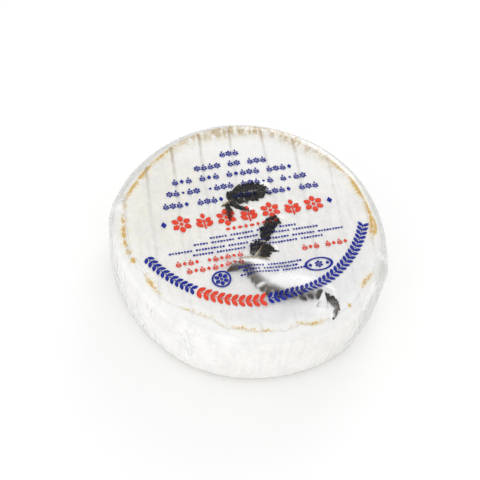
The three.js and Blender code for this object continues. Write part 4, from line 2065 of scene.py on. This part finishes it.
UPPER_FERN = (
    Spray(
        stalk=((-17.5, 11), (-10.2, 17.9), (-3.4, 21.7), (3.1, 24.2), (9, 23.3)),
        pairs=15, reach=7.7, width=4.6, lean=66, near=0.12, far=0.76,
        rise=0.3, girth=0.5, bias=0.2, vary=0.16, shade=0.9,
    ),
)
UPPER_BLADES: tuple[Blade, ...] = (
    ((-15.7, 12.6), (-11.9, 0.2), 4.8),
    ((-14.4, 12.4), (-1.9, 8.8), 3.5),
    ((-14.6, 13.4), (-18.6, 10), 2),
    ((3.4, 24.4), (8.6, 24.4), 1.6),
)
LOWER_FERN = (
    Spray(
        stalk=((8.4, -13), (8.8, -7), (9.3, -2.5), (11, 2), (13.4, 6)),
        pairs=9, reach=5.6, width=3.4, lean=52, near=0.12, far=0.96,
        rise=0.1, girth=0.3, shade=0.9,
    ),
    Spray(
        stalk=((4.3, -22.6), (6.6, -17.4), (8.4, -12)),
        pairs=6, reach=7.4, width=4.4, lean=66, near=0.12, far=0.92,
    ),
    Spray(
        stalk=(
            (4.3, -22.4), (1.2, -28), (4.6, -35), (10.4, -41), (19, -44.2),
            (30, -44), (41, -42.6), (49, -44.6), (52.4, -50.4),
        ),
        pairs=17, reach=5.4, width=3.6, lean=46, near=0.06, far=0.9,
        rise=0.1, girth=0.35,
    ),
    Spray(
        stalk=((-4.2, -25.6), (0, -23.6), (4.5, -22.7), (9, -22.6), (13, -23.4)),
        pairs=0, reach=0, width=0, lean=0, near=0, far=1, rise=0.5, girth=0.5,
    ),
)
LOWER_BLADES: tuple[Blade, ...] = (
    ((0.5, -27.6), (-9.6, -35), 6.4),
    ((4.6, -28.6), (-3.6, -30.6), 4.6),
    ((9.4, -18), (17.4, -16.4), 2.2),
    ((5.4, -21.4), (12.8, -20.6), 4.4),
    ((46.6, -42.6), (53.6, -50.6), 5),
    ((52.2, -48.6), (50.6, -57), 3),
)
FOLDS = (
    Crease((
        (-74.6, -4), (-69.6, -12.4), (-66, -26), (-61, -33.6), (-55, -41), (-50.5, -45.6), (-44, -51),
    ), 0.9, on_face=True),
    Crease(((-79, 2), (-72, 6)), 1.6, on_face=True),
    Crease(((43.6, -39.6), (44, -50.8)), 7.3, on_face=True, flares=True),
    Crease(((350, 35), (342.5, 20)), 0.8),
    Crease(((348.2, 39.7), (335.2, 40.6), (328.8, 28.7)), 0.7),
    Crease(((331, 42), (326.5, 41), (328.2, 32.8)), 0.6),
    Crease(((326.2, 16.3), (317.5, 15.3)), 0.6),
    Crease(((177, 35.7), (170.5, 41.5)), 0.9),
    Crease(((198, 40.3), (200.5, 37.8)), 0.6),
    Crease(((201.5, 23.9), (209.8, 22.1)), 0.7),
    Crease(((229.2, 34.6), (231, 32.1)), 0.6),
    Crease(((232.8, 35.5), (231.8, 25.9)), 0.7),
    Crease(((228.8, 15.6), (227.8, 7.3)), 0.7),
    Crease(((220.8, 20.4), (218.8, 13.2)), 0.7),
    Crease(((224.8, 17.7), (227.5, 16.3)), 0.6),
    Crease(((238.5, 9.1), (241, 5.3)), 0.6),
    Crease(((247, 33.5), (250, 29), (251.8, 23.9), (252.8, 14.9)), 0.7),
    Crease(((250.8, 37), (251.5, 32.1), (253.8, 25.6), (253.8, 16)), 0.7),
)


def hand_over(piece: bpy.types.Object, nodes: Sequence[str]) -> None:
    """Hangs a piece on the root body, hides the solids that it stands for and logs it.

    Args:
        piece: the finished piece.
        nodes: the solids that it stands for.
    """
    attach(piece, "root")
    for node in nodes:
        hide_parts(node)
    stands_for = ", ".join(nodes) or "no solid"
    log.info("%s: %d faces for %s", piece.name, len(piece.data.polygons), stands_for)


def main() -> None:
    """Builds the wheel's pieces in order, then the studio round them."""
    logging.basicConfig(level=logging.INFO, format="%(message)s", stream=sys.stdout)
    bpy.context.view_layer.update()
    form = WheelForm()
    centre = form.centre()
    rind = Rind(form).build()
    rind.data.materials.append(RindFinish().make())
    leaf, straw = FernFinish().make(), StrawFinish().make()
    ferns = (
        Fern("fern_upper_leaves", "fern_upper", form, UPPER_FERN, UPPER_BLADES, SEED,
             wave=0.35, curl=0.12),
        Fern("fern_lower_leaves", "fern_lower", form, LOWER_FERN, LOWER_BLADES, SEED + 1),
    )
    pieces = [(rind, "rind", ["cheese_wheel"])]
    greens = []
    for fern in ferns:
        for piece, finish, slot in ((fern.build(), leaf, "fern"), (fern.stalks(), straw, "stalk")):
            piece.data.materials.append(finish)
            greens.append((piece, slot, [fern.node]))
    sheet = FilmSheet(form)
    sheet.rest_on(piece for piece, _, _ in greens)
    wrap = Film(form, sheet)
    film = wrap.build()
    folds = Creases(film, form, FOLDS).build()
    clear = FilmFinish().make()
    for piece, nodes in ((film, ["cheese_wheel"]), (folds, [])):
        piece.data.materials.append(clear)
        pieces.append((piece, "film", nodes))
    pieces += greens
    ornament = Print(sheet)
    ornament.lay_out()
    inks = {
        Ink.BLUE: InkFinish("blue_ink", (0.004, 0.018, 0.36, 1), (0.02, 0.06, 0.5, 1)),
        Ink.RED: InkFinish("red_ink", (0.90, 0.045, 0.012, 1), (0.98, 0.16, 0.07, 1)),
    }
    for ink, finish in inks.items():
        piece = ornament.build(ink)
        piece.data.materials.append(finish.make())
        pieces.append((piece, ink.value, []))
    for piece, _, _ in pieces:
        place(piece, centre)
    wrap.finish_wall(film)
    for piece, slot, nodes in pieces:
        hand_over(piece, nodes)
    Studio().build(centre)


if __name__ == "__main__":
    main()
